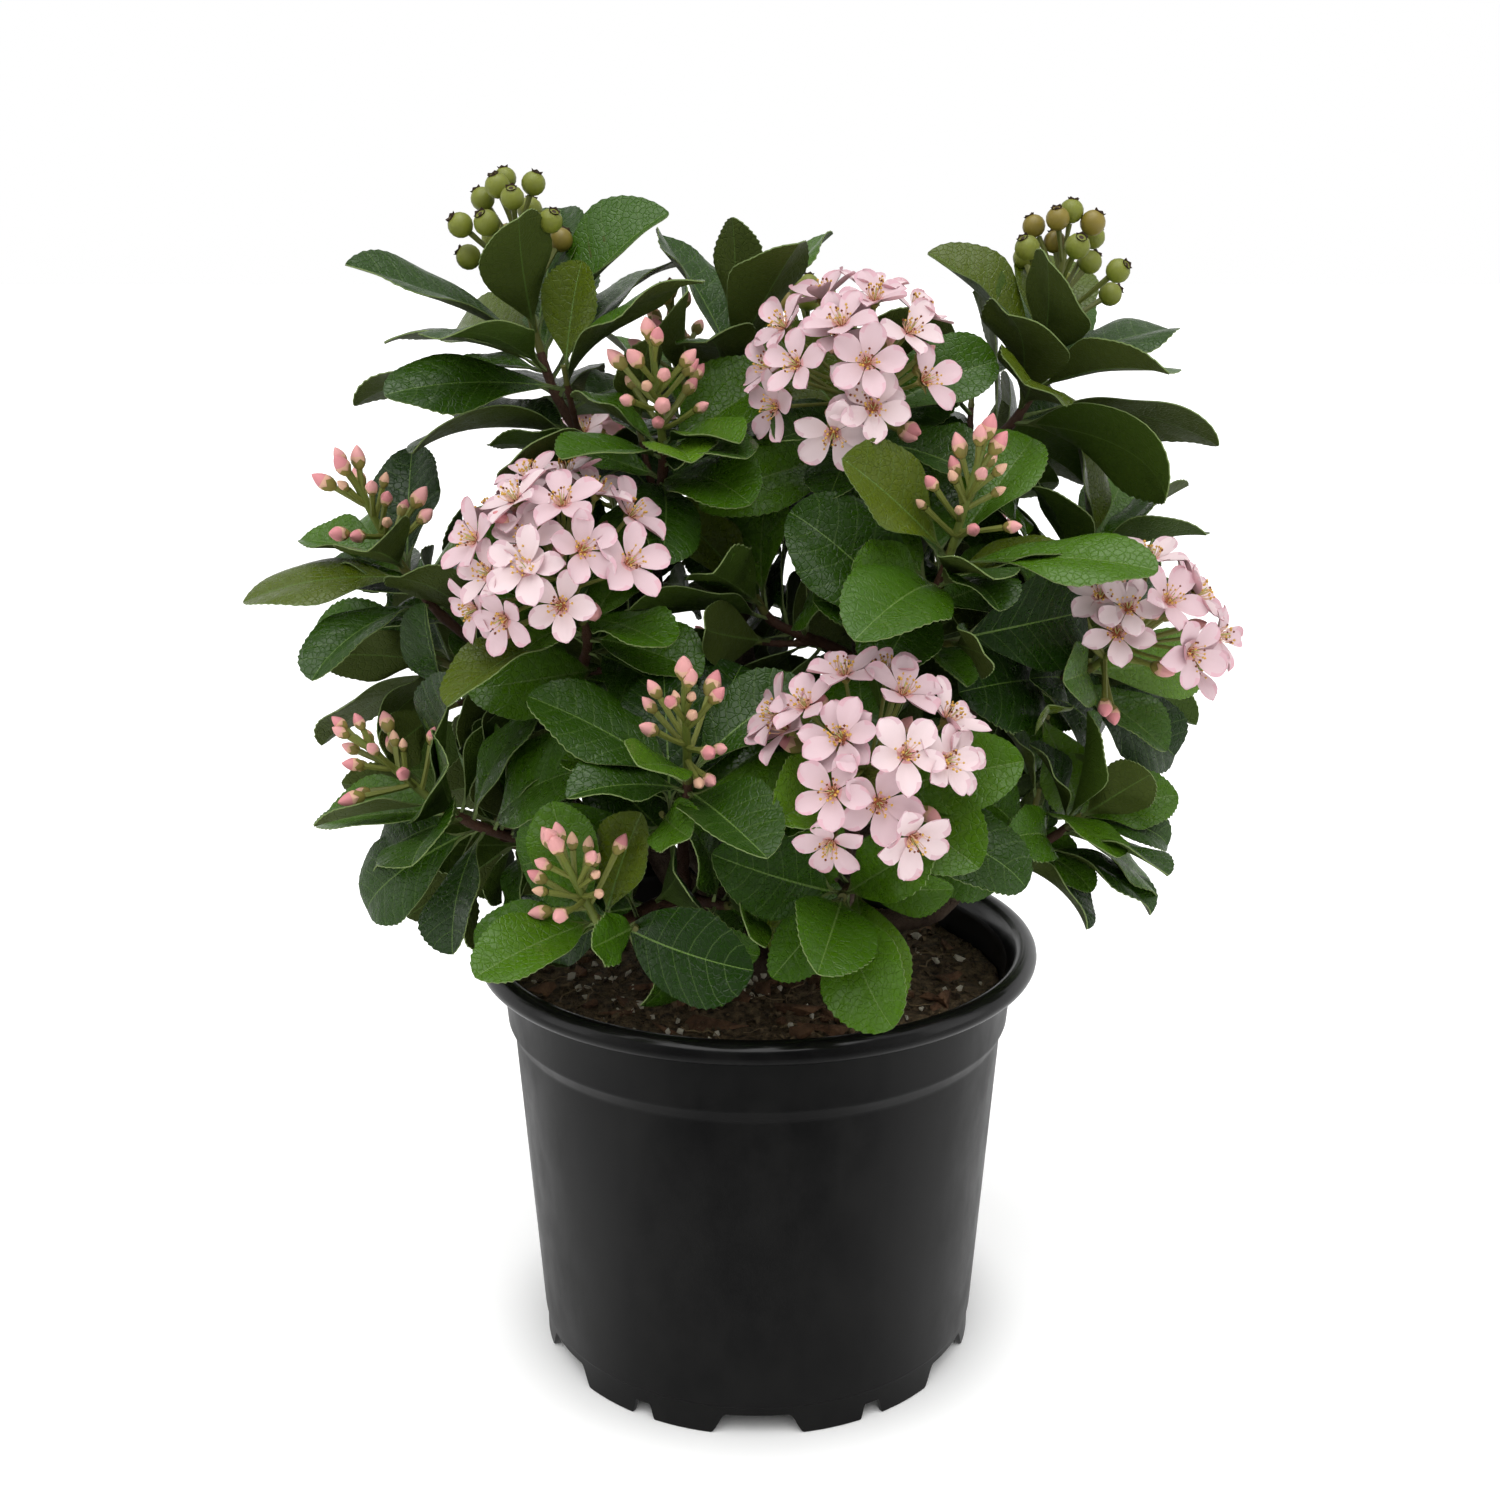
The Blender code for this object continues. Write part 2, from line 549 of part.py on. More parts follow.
def grow(shoots, stems, crowd):
    """The pieces of each shoot: {name: [shape, ...]}. Stems and crops come first, and then the shoots
    take turns to place a leaf, so that neighbours share the room between them."""
    made = {shoot.name: [] for shoot in shoots}
    for shoot in shoots:
        path, axis = stems[shoot.name]
        radii = [mix(STEM_RADIUS, STEM_TIP_RADIUS, i / STEM_STAGES) for i in range(STEM_STAGES + 1)]
        stem = tube(path, radii)
        made[shoot.name].append(stem)
        crowd.add(shoot.name, "stem", stem)
    for shoot in shoots:
        path, axis = stems[shoot.name]
        rng, flowers = random.Random(shoot.name + " crop"), 0
        for kind, shape, test in CROPS[shoot.crop](path[-1], axis, rng):
            spare = ("stem", "crop", "stalk") + ((kind,) if kind != "flower" else ())
            if kind == "flower" and flowers == FLOWER_COUNT:
                continue
            if test is None or not crowd.touches(shoot.name, test, spare):
                made[shoot.name].append(shape)
                crowd.add(shoot.name, "stalk" if kind == "flower" else kind, shape)
                if kind == "flower":
                    crowd.add(shoot.name, kind, test)
                    flowers += 1
    twigs = {}
    for shoot in shoots:
        for number in range(shoot.twigs):
            rng = random.Random(f"{shoot.name} twig {number}")
            for attempt in range(LEAF_TRIES):
                path = side_twig(stems[shoot.name][0], rng)
                test = tube(path, [TWIG_RADIUS + GAP, TWIG_RADIUS * 0.8 + GAP])
                if not crowd.touches(shoot.name, test, ("stem",)):
                    shape = tube(path, [TWIG_RADIUS, TWIG_RADIUS * 0.8])
                    made[shoot.name].append(shape)
                    crowd.add(shoot.name, "stem", shape)
                    twigs[shoot.name, number] = path
                    break
    for index in range(max(shoot.leaves for shoot in shoots)):
        for shoot in shoots:
            if index < shoot.leaves:
                open_at = (LEAST_OPENING[shoot.crop], mix(*MOST_OPENING, shoot.lean / 90))
                whorl = (stems[shoot.name][0], index, shoot.leaves, shoot.length, shoot.turn, *open_at)
                place_leaf(shoot.name, "leaf", whorl, WHORL_DEPTH, made, crowd)
            for number in range(shoot.twigs):
                if index < TWIG_LEAVES and (shoot.name, number) in twigs:
                    path, length = twigs[shoot.name, number], shoot.length * TWIG_LEAF_SHARE
                    whorl = (path, index, TWIG_LEAVES, length, shoot.turn + 70, 24.0, 90.0)
                    place_leaf(shoot.name, f"twig {number} leaf", whorl, WHORL_DEPTH * 0.5, made, crowd)
    return made


def side_twig(path, rng):
    """A twig from the lower part of a stem, out to one side and up."""
    length = sum((b - a).length for a, b in zip(path, path[1:]))
    root, run = point_on(path, length * rng.uniform(0.45, 0.75))
    out = leaning(run, math.radians(rng.uniform(35, 62)), rng.uniform(0, 2 * math.pi))
    return [root, root + (out + Vector((0, 0, 0.25))).normalized() * rng.uniform(14, 24) * MM]


def place_leaf(name, kind, whorl, depth, made, crowd):
    for attempt in range(LEAF_TRIES):
        rng = random.Random(f"{name} {kind} {whorl[1]}")
        leaf = whorl_leaf(*whorl, depth, rng, attempt)
        tip = leaf_frame(leaf, 1.0)[0]
        if tip.z < lowest_tip(tip.xy.length) or hides_soil(leaf):
            continue
        if crowd.touches(name, leaf_shape(leaf, GAP), ("stem", "crop", "leaf")):
            continue
        if crowd.touches(name, blade_room(leaf), ("stem",)):
            continue
        made[name].append(leaf_shape(leaf))
        crowd.add(name, "leaf", leaf_shape(leaf))
        return


# Objects


def material(name, look):
    colour, roughness = look
    made = bpy.data.materials.new(name)
    made.use_nodes = True
    shader = made.node_tree.nodes["Principled BSDF"]
    shader.inputs["Base Color"].default_value = (*colour, 1)
    shader.inputs["Roughness"].default_value = roughness
    return made


def mesh_object(name, shape, collection, finish=None):
    mesh = bpy.data.meshes.new(name)
    mesh.from_pydata(*[list(part) for part in (shape[0], (), shape[1])])
    made = bpy.data.objects.new(name, mesh)
    collection.objects.link(made)
    if finish:
        mesh.materials.append(finish)
    return made


def turned(name, profile, steps, collection, finish):
    """A shape turned about the Z axis from a profile of (radius, height), down its outer side."""
    mesh = bpy.data.meshes.new(name)
    points = [(radius, 0, height) for radius, height in profile]
    mesh.from_pydata(points, [(i, i + 1) for i in range(len(points) - 1)], [])
    made = bpy.data.objects.new(name, mesh)
    collection.objects.link(made)
    mesh.materials.append(finish)
    screw = made.modifiers.new("Turn", "SCREW")
    screw.steps = screw.render_steps = steps
    screw.use_merge_vertices = True
    screw.merge_threshold = 0.00001
    return made


def limb(name, points, radii, sides, collection, finish):
    """A tapering limb as a round curve with closed ends."""
    curve = bpy.data.curves.new(name, "CURVE")
    curve.dimensions = "3D"
    curve.bevel_depth = 1.0
    curve.bevel_resolution = sides // 2 - 2
    curve.use_fill_caps = True
    spline = curve.splines.new("POLY")
    spline.points.add(len(points) - 1)
    for target, point, radius in zip(spline.points, points, radii):
        target.co = (*point, 1)
        target.radius = radius
    curve.materials.append(finish)
    made = bpy.data.objects.new(name, curve)
    collection.objects.link(made)
    return made


def pot_profile():
    """From the floor's middle out and up the inside, over the lip, down the outside and back under."""
    lip_centre = (LIP_RADIUS - LIP_ROLL, POT_HEIGHT - LIP_ROLL)
    profile = [
        (0, FLOOR_HEIGHT + POT_WALL),
        (WALL_FOOT_RADIUS - POT_WALL - 0.6 * MM, FLOOR_HEIGHT + POT_WALL),
        (WALL_TOP_RADIUS - POT_WALL, WALL_TOP_HEIGHT),
        (NECK_FOOT_RADIUS - POT_WALL, NECK_FOOT_HEIGHT),
        (NECK_TOP_RADIUS - POT_WALL, POT_HEIGHT - LIP_ROLL * 1.6),
    ]
    for degrees in (150, 90, 40, 0, -50, -100):
        turn = math.radians(degrees)
        x, z = lip_centre[0] + LIP_ROLL * math.cos(turn), lip_centre[1] + LIP_ROLL * math.sin(turn)
        profile.append((x, z))
    profile += [
        (NECK_TOP_RADIUS, POT_HEIGHT - LIP_ROLL * 2.3),
        (NECK_FOOT_RADIUS, NECK_FOOT_HEIGHT),
        (WALL_TOP_RADIUS, WALL_TOP_HEIGHT),
        (WALL_FOOT_RADIUS, FOOT_RING_HEIGHT),
        (FOOT_RADIUS, FOOT_RING_HEIGHT - 0.8 * MM),
        (FOOT_RADIUS, 0),
        (FOOT_RADIUS - POT_WALL, 0),
        (FOOT_RADIUS - POT_WALL - 0.4 * MM, FLOOR_HEIGHT),
        (0, FLOOR_HEIGHT),
    ]
    return profile


def notch_cutter(name, size, bearing, collection):
    """A block that narrows upwards and reaches through the foot ring."""
    half_low, half_high, height = size
    made = bpy.data.meshes.new(name)
    shape = bmesh.new()
    bmesh.ops.create_cube(shape, size=2.0)
    depth = 5.0 * MM
    for vertex in shape.verts:
        half = half_high if vertex.co.z > 0 else half_low
        level = height if vertex.co.z > 0 else -1.0 * MM
        vertex.co = Vector((FOOT_RADIUS + vertex.co.x * depth, vertex.co.y * half, level))
    shape.to_mesh(made)
    shape.free()
    return helper(made, Matrix.Rotation(math.radians(bearing), 4, "Z"), collection)


def drain_cutter(name, bearing, collection):
    """A round cutter through the floor."""
    made = bpy.data.meshes.new(name)
    shape = bmesh.new()
    bmesh.ops.create_cone(
        shape, cap_ends=True, segments=DRAIN_SIDES, radius1=DRAIN_RADIUS, radius2=DRAIN_RADIUS, depth=8 * MM
    )
    shape.to_mesh(made)
    shape.free()
    place = Matrix.Translation(polar(bearing, DRAIN_REACH / MM, (FLOOR_HEIGHT + POT_WALL / 2) / MM))
    return helper(made, place, collection)


def helper(mesh, place, collection):
    made = bpy.data.objects.new(mesh.name, mesh)
    made.matrix_world = place
    made.hide_render = True
    made.display_type = "WIRE"
    collection.objects.link(made)
    return made


def build_pot(collection, cutters):
    pot = turned("pot", pot_profile(), POT_STEPS, collection, material("black plastic", BLACK_PLASTIC))
    spacing = 360 / NOTCH_COUNT
    for i in range(NOTCH_COUNT):
        bearing = -90 + spacing * i
        notch_cutter(f"wide_notch_{i}", WIDE_NOTCH, bearing, cutters)
        notch_cutter(f"small_notch_{i}", SMALL_NOTCH, bearing + spacing / 2, cutters)
        drain_cutter(f"drain_{i}", bearing + spacing / 2, cutters)
    cut = pot.modifiers.new("Notches and drains", "BOOLEAN")
    cut.operation = "DIFFERENCE"
    cut.operand_type = "COLLECTION"
    cut.collection = cutters
    cut.solver = "EXACT"
    return pot


def build_soil(collection):
    clear = POT_WALL + GAP + 0.2 * MM
    floor = FLOOR_HEIGHT + POT_WALL + GAP
    share = (SOIL_EDGE_HEIGHT - NECK_FOOT_HEIGHT) / (POT_HEIGHT - LIP_ROLL * 1.6 - NECK_FOOT_HEIGHT)
    edge = mix(NECK_FOOT_RADIUS, NECK_TOP_RADIUS, share) - clear
    profile = [
        (0, SOIL_MIDDLE_HEIGHT),
        (14 * MM, SOIL_MIDDLE_HEIGHT),
        (48 * MM, mix(SOIL_EDGE_HEIGHT, SOIL_MIDDLE_HEIGHT, 0.45)),
        (edge, SOIL_EDGE_HEIGHT),
        (NECK_FOOT_RADIUS - clear, NECK_FOOT_HEIGHT),
        (WALL_TOP_RADIUS - clear, WALL_TOP_HEIGHT),
        (WALL_FOOT_RADIUS - clear - 0.6 * MM, floor),
        (0, floor),
    ]
    return turned("potting_mix", profile, POT_STEPS, collection, material("potting mix", POTTING_MIX))


def shape_of(obj):
    """An object's evaluated mesh as points and faces in world space."""
    evaluated = obj.evaluated_get(bpy.context.evaluated_depsgraph_get())
    mesh = evaluated.to_mesh()
    points = [evaluated.matrix_world @ vertex.co for vertex in mesh.vertices]
    faces = [tuple(polygon.vertices) for polygon in mesh.polygons]
    evaluated.to_mesh_clear()
    return points, faces


def one_shell(work):
    """Keep the largest shell alone. That fills a hollow sealed by the join, and drops any scrap."""
    loose = set(work.faces)
    shells = []
    while loose:
        shell, edge = set(), [loose.pop()]
        while edge:
            face = edge.pop()
            shell.add(face)
            near = {other for side in face.edges for other in side.link_faces} & loose
            loose -= near
            edge += near
        shells.append(shell)
    shells.sort(key=len)
    for shell in shells[:-1]:
        bmesh.ops.delete(work, geom=list(shell), context="FACES")


def sound(mesh):
    """The joined mesh without its shortest edges, or None if it can't be closed."""
    for least in SHORT_EDGES:
        work = bmesh.new()
        work.from_mesh(mesh)
        bmesh.ops.dissolve_limit(work, angle_limit=FLAT, verts=work.verts, edges=work.edges)
        bmesh.ops.triangulate(work, faces=work.faces)
        bmesh.ops.dissolve_degenerate(work, dist=least, edges=work.edges)
        bmesh.ops.triangulate(work, faces=work.faces)
        one_shell(work)
        closed = all(len(side.link_faces) == 2 for side in work.edges)
        if closed:
            work.to_mesh(mesh)
        work.free()
        if closed:
            return mesh
    return None


def joined(name, shapes, collection, finish):
    """The first shape with all the others joined to it, in one Boolean union on a collection of them."""
    made = mesh_object(name, shapes[0], collection, finish)
    pieces = bpy.data.collections.new(name + " pieces")
    bpy.context.scene.collection.children.link(pieces)
    for number, shape in enumerate(shapes[1:]):
        mesh_object(f"{name}_{number}", shape, pieces)
    join = made.modifiers.new("Join", "BOOLEAN")
    join.operation = "UNION"
    join.operand_type = "COLLECTION"
    join.collection = pieces
    join.solver = "MANIFOLD"
    bpy.context.view_layer.update()
    evaluated = made.evaluated_get(bpy.context.evaluated_depsgraph_get())
    whole = sound(bpy.data.meshes.new_from_object(evaluated))
    made.modifiers.clear()
    for piece in list(pieces.objects):
        bpy.data.objects.remove(piece)
    bpy.data.collections.remove(pieces)
    if whole is None:
        bpy.data.objects.remove(made)
        return None
    made.data = whole
    return made


def fused(name, shapes, collection, finish):
    """One solid of a shoot's shapes. If they don't join soundly, the shoot gets a leaf fewer."""
    while True:
        made = joined(name, shapes, collection, finish)
        if made:
            return made
        shapes = shapes[:-1]


def main():
    for old in list(bpy.data.objects):
        bpy.data.objects.remove(old)
    plant = bpy.data.collections.new("Potted Indian hawthorn")
    cutters = bpy.data.collections.new("Cutters")
    for collection in (plant, cutters):
        bpy.context.scene.collection.children.link(collection)
    bark, foliage = material("bark", BARK), material("foliage", FOLIAGE)

    solids = [build_pot(plant, cutters), build_soil(plant)]
    levels = [stage[0] for stage in TRUNK_STAGES]
    trunk = [trunk_point(level) for level in levels]
    line, radii = [point for point, _ in trunk], [radius for _, radius in trunk]
    solids.append(limb("trunk", line, radii, TRUNK_SIDES, plant, bark))
    ends = {}
    for bough in BOUGHS:
        path = bough_path(bough)
        shares = [i / BOUGH_STAGES for i in range(BOUGH_STAGES + 1)]
        radii = [mix(BOUGH_BASE_RADIUS, BOUGH_TIP_RADIUS, share) for share in shares]
        solids.append(limb(bough.name, path, radii, 6, plant, bark))
        ends[bough.name] = (path[-1], (path[-1] - path[-2]).normalized())
    bpy.context.view_layer.update()

    crowd = Crowd()
    for solid in solids:
        crowd.add(solid.name, "limb", shape_of(solid))
    stems = {}
    for bough in BOUGHS:
        carried = [shoot for shoot in SHOOTS if shoot.bough == bough.name]
        feet = stem_feet(carried, *ends[bough.name])
        for shoot in carried:
            stems[shoot.name] = stem_path(shoot, *ends[bough.name], feet[shoot.name])
    for name, shapes in grow(SHOOTS, stems, crowd).items():
        fused(name, shapes, plant, foliage)


if __name__ == "__main__":
    main()
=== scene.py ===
"""Potted Indian hawthorn: the finished plant and pot, built round the fixed frame of its CAD model.

Metres, +Z up, with the front towards -Y. The shoots grow by the rule of the part's source, written again
here and carried to more flowers, buds, berries, twigs and leaves within the same reach.
"""

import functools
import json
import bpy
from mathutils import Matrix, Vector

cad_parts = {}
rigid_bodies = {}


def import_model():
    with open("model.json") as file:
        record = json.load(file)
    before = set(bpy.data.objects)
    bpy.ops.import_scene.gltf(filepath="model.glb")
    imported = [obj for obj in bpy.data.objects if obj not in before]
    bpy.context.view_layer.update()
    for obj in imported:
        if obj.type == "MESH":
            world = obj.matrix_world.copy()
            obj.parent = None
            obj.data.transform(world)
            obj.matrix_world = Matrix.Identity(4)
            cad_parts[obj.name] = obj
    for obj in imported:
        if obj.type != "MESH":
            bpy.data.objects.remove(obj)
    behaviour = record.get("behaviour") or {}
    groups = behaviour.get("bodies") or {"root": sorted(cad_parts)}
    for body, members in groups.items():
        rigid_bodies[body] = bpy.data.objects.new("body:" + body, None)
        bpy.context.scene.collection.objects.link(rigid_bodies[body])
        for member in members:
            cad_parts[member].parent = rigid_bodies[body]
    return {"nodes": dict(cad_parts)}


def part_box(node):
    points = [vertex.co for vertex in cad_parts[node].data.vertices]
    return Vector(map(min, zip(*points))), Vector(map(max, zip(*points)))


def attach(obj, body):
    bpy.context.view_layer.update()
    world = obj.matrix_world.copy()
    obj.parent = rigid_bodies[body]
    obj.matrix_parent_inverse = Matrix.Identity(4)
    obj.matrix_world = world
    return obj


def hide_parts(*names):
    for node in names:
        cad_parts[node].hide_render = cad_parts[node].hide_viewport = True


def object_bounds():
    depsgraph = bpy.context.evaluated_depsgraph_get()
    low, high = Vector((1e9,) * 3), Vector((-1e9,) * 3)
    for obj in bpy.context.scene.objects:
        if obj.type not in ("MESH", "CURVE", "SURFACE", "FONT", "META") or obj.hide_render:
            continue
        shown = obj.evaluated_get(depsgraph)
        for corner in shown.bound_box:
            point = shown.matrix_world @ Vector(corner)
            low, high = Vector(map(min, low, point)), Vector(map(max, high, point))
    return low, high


bl_info = {
    "name": "Potted Indian Hawthorn",
    "version": (1, 0, 0),
    "blender": (4, 5, 0),
    "location": "View3D > Sidebar > Hawthorn",
    "description": "Builds a flowering Indian hawthorn in a nursery pot on its fixed frame",
    "category": "Add Mesh",
}

from collections import namedtuple
from math import atan2, cos, exp, hypot, pi, radians, sin, sqrt, tau
from random import Random

import bmesh
import bpy
import numpy as np
from bpy.props import FloatProperty, FloatVectorProperty, IntProperty, PointerProperty
from mathutils import Matrix, Vector, noise
from mathutils.bvhtree import BVHTree

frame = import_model()
CAD_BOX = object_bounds()
BODY = "root"

MM = 0.001
GAP = 0.3 * MM  # between solids that would touch

# The pot, as its solid has it
LIP_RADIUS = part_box("pot")[1].x
POT_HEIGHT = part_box("pot")[1].z
LIP_ROLL = 3.4 * MM
NECK_TOP_RADIUS = 75.6 * MM
NECK_FOOT_RADIUS = 74.4 * MM
NECK_FOOT_HEIGHT = 103.5 * MM
WALL_TOP_RADIUS = 72.6 * MM
WALL_TOP_HEIGHT = 100.0 * MM
WALL_FOOT_RADIUS = 66.2 * MM
FOOT_RADIUS = 65.5 * MM
FOOT_RING_HEIGHT = 9.2 * MM
POT_WALL = 1.8 * MM
FLOOR_HEIGHT = 7.2 * MM
NOTCH_COUNT = 6
# Notches: half width at the floor and at the top, height, and how far on from the front in shares of the ring
NOTCHES = (((13.4 * MM, 9.0 * MM, 6.1 * MM), 0.0), ((3.8 * MM, 2.2 * MM, 4.6 * MM), 0.5))
DRAIN_RADIUS = 4.5 * MM
DRAIN_REACH = 50.0 * MM

# The soil
SOIL_EDGE_HEIGHT = 112.5 * MM
SOIL_MIDDLE_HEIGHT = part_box("potting_mix")[1].z
SOIL_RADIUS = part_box("potting_mix")[1].x

# The trunk: height above the soil, sideways drift and radius at each stage
TRUNK_STAGES = (
    (0.0, 0.0, 11.5),
    (3.0, 0.0, 9.2),
    (9.0, 0.4, 8.0),
    (24.0, 1.6, 7.2),
    (40.0, 3.0, 6.2),
    (47.0, 3.7, 4.4),
)
TRUNK_LEAN_BEARING = 35.0

# Boughs: the level where each leaves the trunk, and its tip as bearing, reach and height. Bearings are
# degrees anticlockwise from +X, seen from above.
Bough = namedtuple("Bough", "name level bearing reach height")
BOUGHS = [
    Bough("bough_" + name, *rest)
    for name, *rest in (
        ("front", 10, -60, 50, 158),
        ("low_right", 11, -8, 62, 146),
        ("low_left", 10, -158, 56, 157),
        ("low_back", 11, 80, 52, 150),
        ("front_left", 22, -112, 52, 154),
        ("right", 23, -34, 38, 208),
        ("left", 24, -172, 54, 196),
        ("back_right", 22, 42, 56, 190),
        ("back_left", 23, 128, 58, 196),
        ("far_right", 30, 4, 62, 194),
        ("top_left", 38, 178, 30, 244),
        ("top_right", 39, 22, 34, 242),
        ("back", 38, 98, 34, 232),
    )
]
BOUGH_BASE_RADIUS = 3.4 * MM
BOUGH_TIP_RADIUS = 2.5 * MM
BOUGH_STAGES = 5
BOUGH_WOBBLE = 0.05  # of its length

# Shoots: the bough that carries each, its crop, the place of its crown, the way it points (bearing, and
# lean from upright), the leaves of its whorl, their length, the turn of the first leaf and its side twigs.
Shoot = namedtuple("Shoot", "name bough bearing reach height toward lean leaves length turn twigs crop")
SHOOTS = [
    Shoot(name, "bough_" + bough, *rest, name.split("_")[0])
    for name, bough, *rest in (
        ("berries_left", "top_left", 175, 62, 301, -150, 10, 10, 62, 200, 1),
        ("berries_right", "top_right", 11, 83, 292, -30, 8, 10, 60, 20, 1),
        ("berries_back", "back", 78, 71, 272, 80, 12, 9, 52, 70, 1),
        ("blossom_left", "left", -139, 62, 231, -116, 36, 8, 52, 10, 1),
        ("blossom_top", "top_right", -23, 29, 278, -95, 48, 8, 52, 60, 1),
        ("blossom_right", "far_right", -10, 95, 211, -56, 52, 8, 50, 250, 1),
        ("blossom_front", "front", -67, 73, 191, -101, 56, 8, 52, 40, 1),
        ("blossom_back_left", "back_left", 122, 82, 236, 118, 38, 8, 54, 0, 1),
        ("blossom_back_right", "back_right", 52, 86, 212, 60, 44, 8, 52, 90, 1),
        ("buds_far_left", "left", -171, 100, 241, -138, 28, 9, 46, 30, 1),
        ("buds_top", "top_left", -138, 34, 274, -98, 26, 8, 48, 140, 1),
        ("buds_right", "right", -39, 65, 248, -50, 20, 8, 58, 330, 1),
        ("buds_middle", "front_left", -103, 77, 198, -90, 30, 8, 50, 60, 1),
        ("buds_low_left", "low_left", -153, 97, 180, -168, 46, 8, 50, 110, 1),
        ("buds_front", "front_left", -118, 88, 160, -114, 36, 8, 48, 300, 1),
        ("buds_back_top", "back", 122, 42, 280, 112, 16, 8, 50, 45, 1),
        ("buds_back_low", "low_back", 98, 72, 182, 95, 40, 8, 50, 15, 1),
        ("buds_back_right", "back_right", 24, 112, 190, 21, 46, 8, 50, 75, 1),
        ("leaves_low_right", "low_right", -15, 94, 170, -12, 46, 9, 40, 0, 1),
        ("leaves_front", "front", -74, 78, 164, -84, 70, 7, 52, 80, 0),
        ("leaves_far_right", "far_right", 7, 98, 238, 0, 24, 9, 45, 120, 1),
        ("leaves_top", "top_left", 108, 20, 298, 60, 6, 8, 52, 150, 1),
        ("leaves_middle", "right", -92, 14, 230, -95, 30, 9, 56, 15, 1),
        ("leaves_left", "left", 176, 94, 208, 180, 58, 8, 50, 45, 1),
        ("leaves_low_left", "low_left", -179, 80, 156, -176, 66, 7, 46, 20, 1),
        ("leaves_low_front", "front_left", -96, 64, 158, -86, 60, 6, 48, 60, 0),
        ("leaves_low_back", "low_back", 66, 80, 158, 60, 74, 7, 48, 30, 1),
        ("leaves_back_left", "back_left", 152, 98, 204, 155, 52, 9, 50, 200, 1),
        ("leaves_back_low_left", "low_left", 148, 84, 168, 148, 62, 8, 48, 100, 1),
        ("leaves_back_right", "back", 36, 70, 248, 35, 32, 8, 52, 240, 1),
        ("leaves_low_side", "low_right", 20, 86, 162, 25, 60, 7, 44, 10, 1),
    )
]

STEM_RADIUS = 1.6 * MM
STEM_TIP_RADIUS = 1.2 * MM
STEM_STAGES = 4
STEM_SPREAD = 2.3 * MM
TWIG_RADIUS = 1.0 * MM
TWIG_LEAVES = 3
TWIG_LEAF_SHARE = 0.8
GOLDEN_ANGLE = radians(137.5)

# Leaves
LEAF_OUTLINE = ((0.40, 0.80, 1.8 * MM), (0.76, 0.98, 1.1 * MM))
LEAF_WIDTH = 0.53
LEAF_BROAD = 49.0 * MM  # longer leaves are no broader
LEAF_BLADE_FROM = 0.12
WHORL_DEPTH = 21.0 * MM
LEAST_OPENING = {"berries": 34.0, "blossom": 50.0, "buds": 44.0, "leaves": 14.0}
MOST_OPENING = (60.0, 90.0)
LOWEST_TIPS = ((50 * MM, 80 * MM), (119 * MM, 131 * MM))  # by their reach
LEAF_LIFT = 0.45
# Where no leaf hangs in front of the soil and the lip, seen from a little above the front: how far across
# and how far up, in millimetres
CLEARINGS = (((-90, 90), (0, 104)), ((42, 72), (100, 134)), ((-3, 15), (100, 118)), ((-46, -28), (100, 116)))
VIEW_TILT = radians(15)
LEAF_TRIES = 9
LEAF_VEINS = 7  # on each side of the midrib
LEAF_TONES = ("leaf_deep", "leaf_dark", "leaf_green", "leaf_fresh", "leaf_bright", "leaf_olive")

# Crops
FLOWER_RADIUS = 10.9 * MM
FLOWER_NOTCH = 0.66
FLOWER_BOWL = 0.25
FLOWER_COUNT = 7
FLOWER_PLACES = 16
FLOWER_STALK = 13.0 * MM
FLOWER_DOME = 25.0 * MM
FLOWER_CONE = 66.0
BLOSSOM_BUDS = 3
BUD_COUNT = 8
BUD_LENGTH = 6.3 * MM
BUD_RADIUS = 2.1 * MM
PANICLE_LENGTH = 37.0 * MM
BERRY_COUNT = 9
BERRY_RADIUS = 3.6 * MM
BERRY_LENGTH = 43.0 * MM
PEDICEL_RADIUS = 0.55 * MM
SUNK = 0.3
LEAF_SUNK = 0.1

# Growth beyond the solids
FULL_BLOSSOM = {"blossom_left": 19, "blossom_front": 16, "blossom_right": 11, "blossom_top": 16}
FULL_BLOSSOM_BUDS = 9
FULL_BLOSSOM_ELSEWHERE = 12
FILL_REACHES = (1.02, 0.9, 0.78, 0.66)  # of the dome, tried in turn
DOME_SHARE = 0.93  # where the first flowers sit
FILL_PLACES = 70
FULL_PANICLE = 16
FULL_SPRAY = 13


UP = Vector((0, 0, 1))


def polar(bearing, reach, height):
    """A point in metres from a bearing in degrees, and a reach and height in millimetres."""
    turn = radians(bearing)
    return Vector((cos(turn) * reach, sin(turn) * reach, height)) * MM


def heading(bearing, lean):
    """The unit vector that leans by this many degrees from upright, towards a bearing."""
    turn, tilt = radians(bearing), radians(lean)
    return Vector((cos(turn) * sin(tilt), sin(turn) * sin(tilt), cos(tilt)))


def mix(low, high, share):
    """The value this share of the way from low to high."""
    return low + (high - low) * share


def bezier(start, pull_start, pull_end, end, count):
    """count + 1 points along a cubic curve."""
    shares = [(1 - step / count, step / count) for step in range(count + 1)]
    return [
        start * s**3 + pull_start * 3 * s * s * t + pull_end * 3 * s * t * t + end * t**3
        for s, t in shares
    ]


def across(axis):
    """Two unit vectors square to the axis and to each other."""
    helper = UP if abs(axis.z) < 0.9 else Vector((1, 0, 0))
    first = axis.cross(helper).normalized()
    return first, axis.cross(first)


def leaning(axis, opening, azimuth):
    """The unit vector that opens from the axis by this angle, towards this azimuth round it."""
    first, second = across(axis)
    out = first * cos(azimuth) + second * sin(azimuth)
    return axis * cos(opening) + out * sin(opening)


# The plain shapes of the solids, which the crowd is tested with


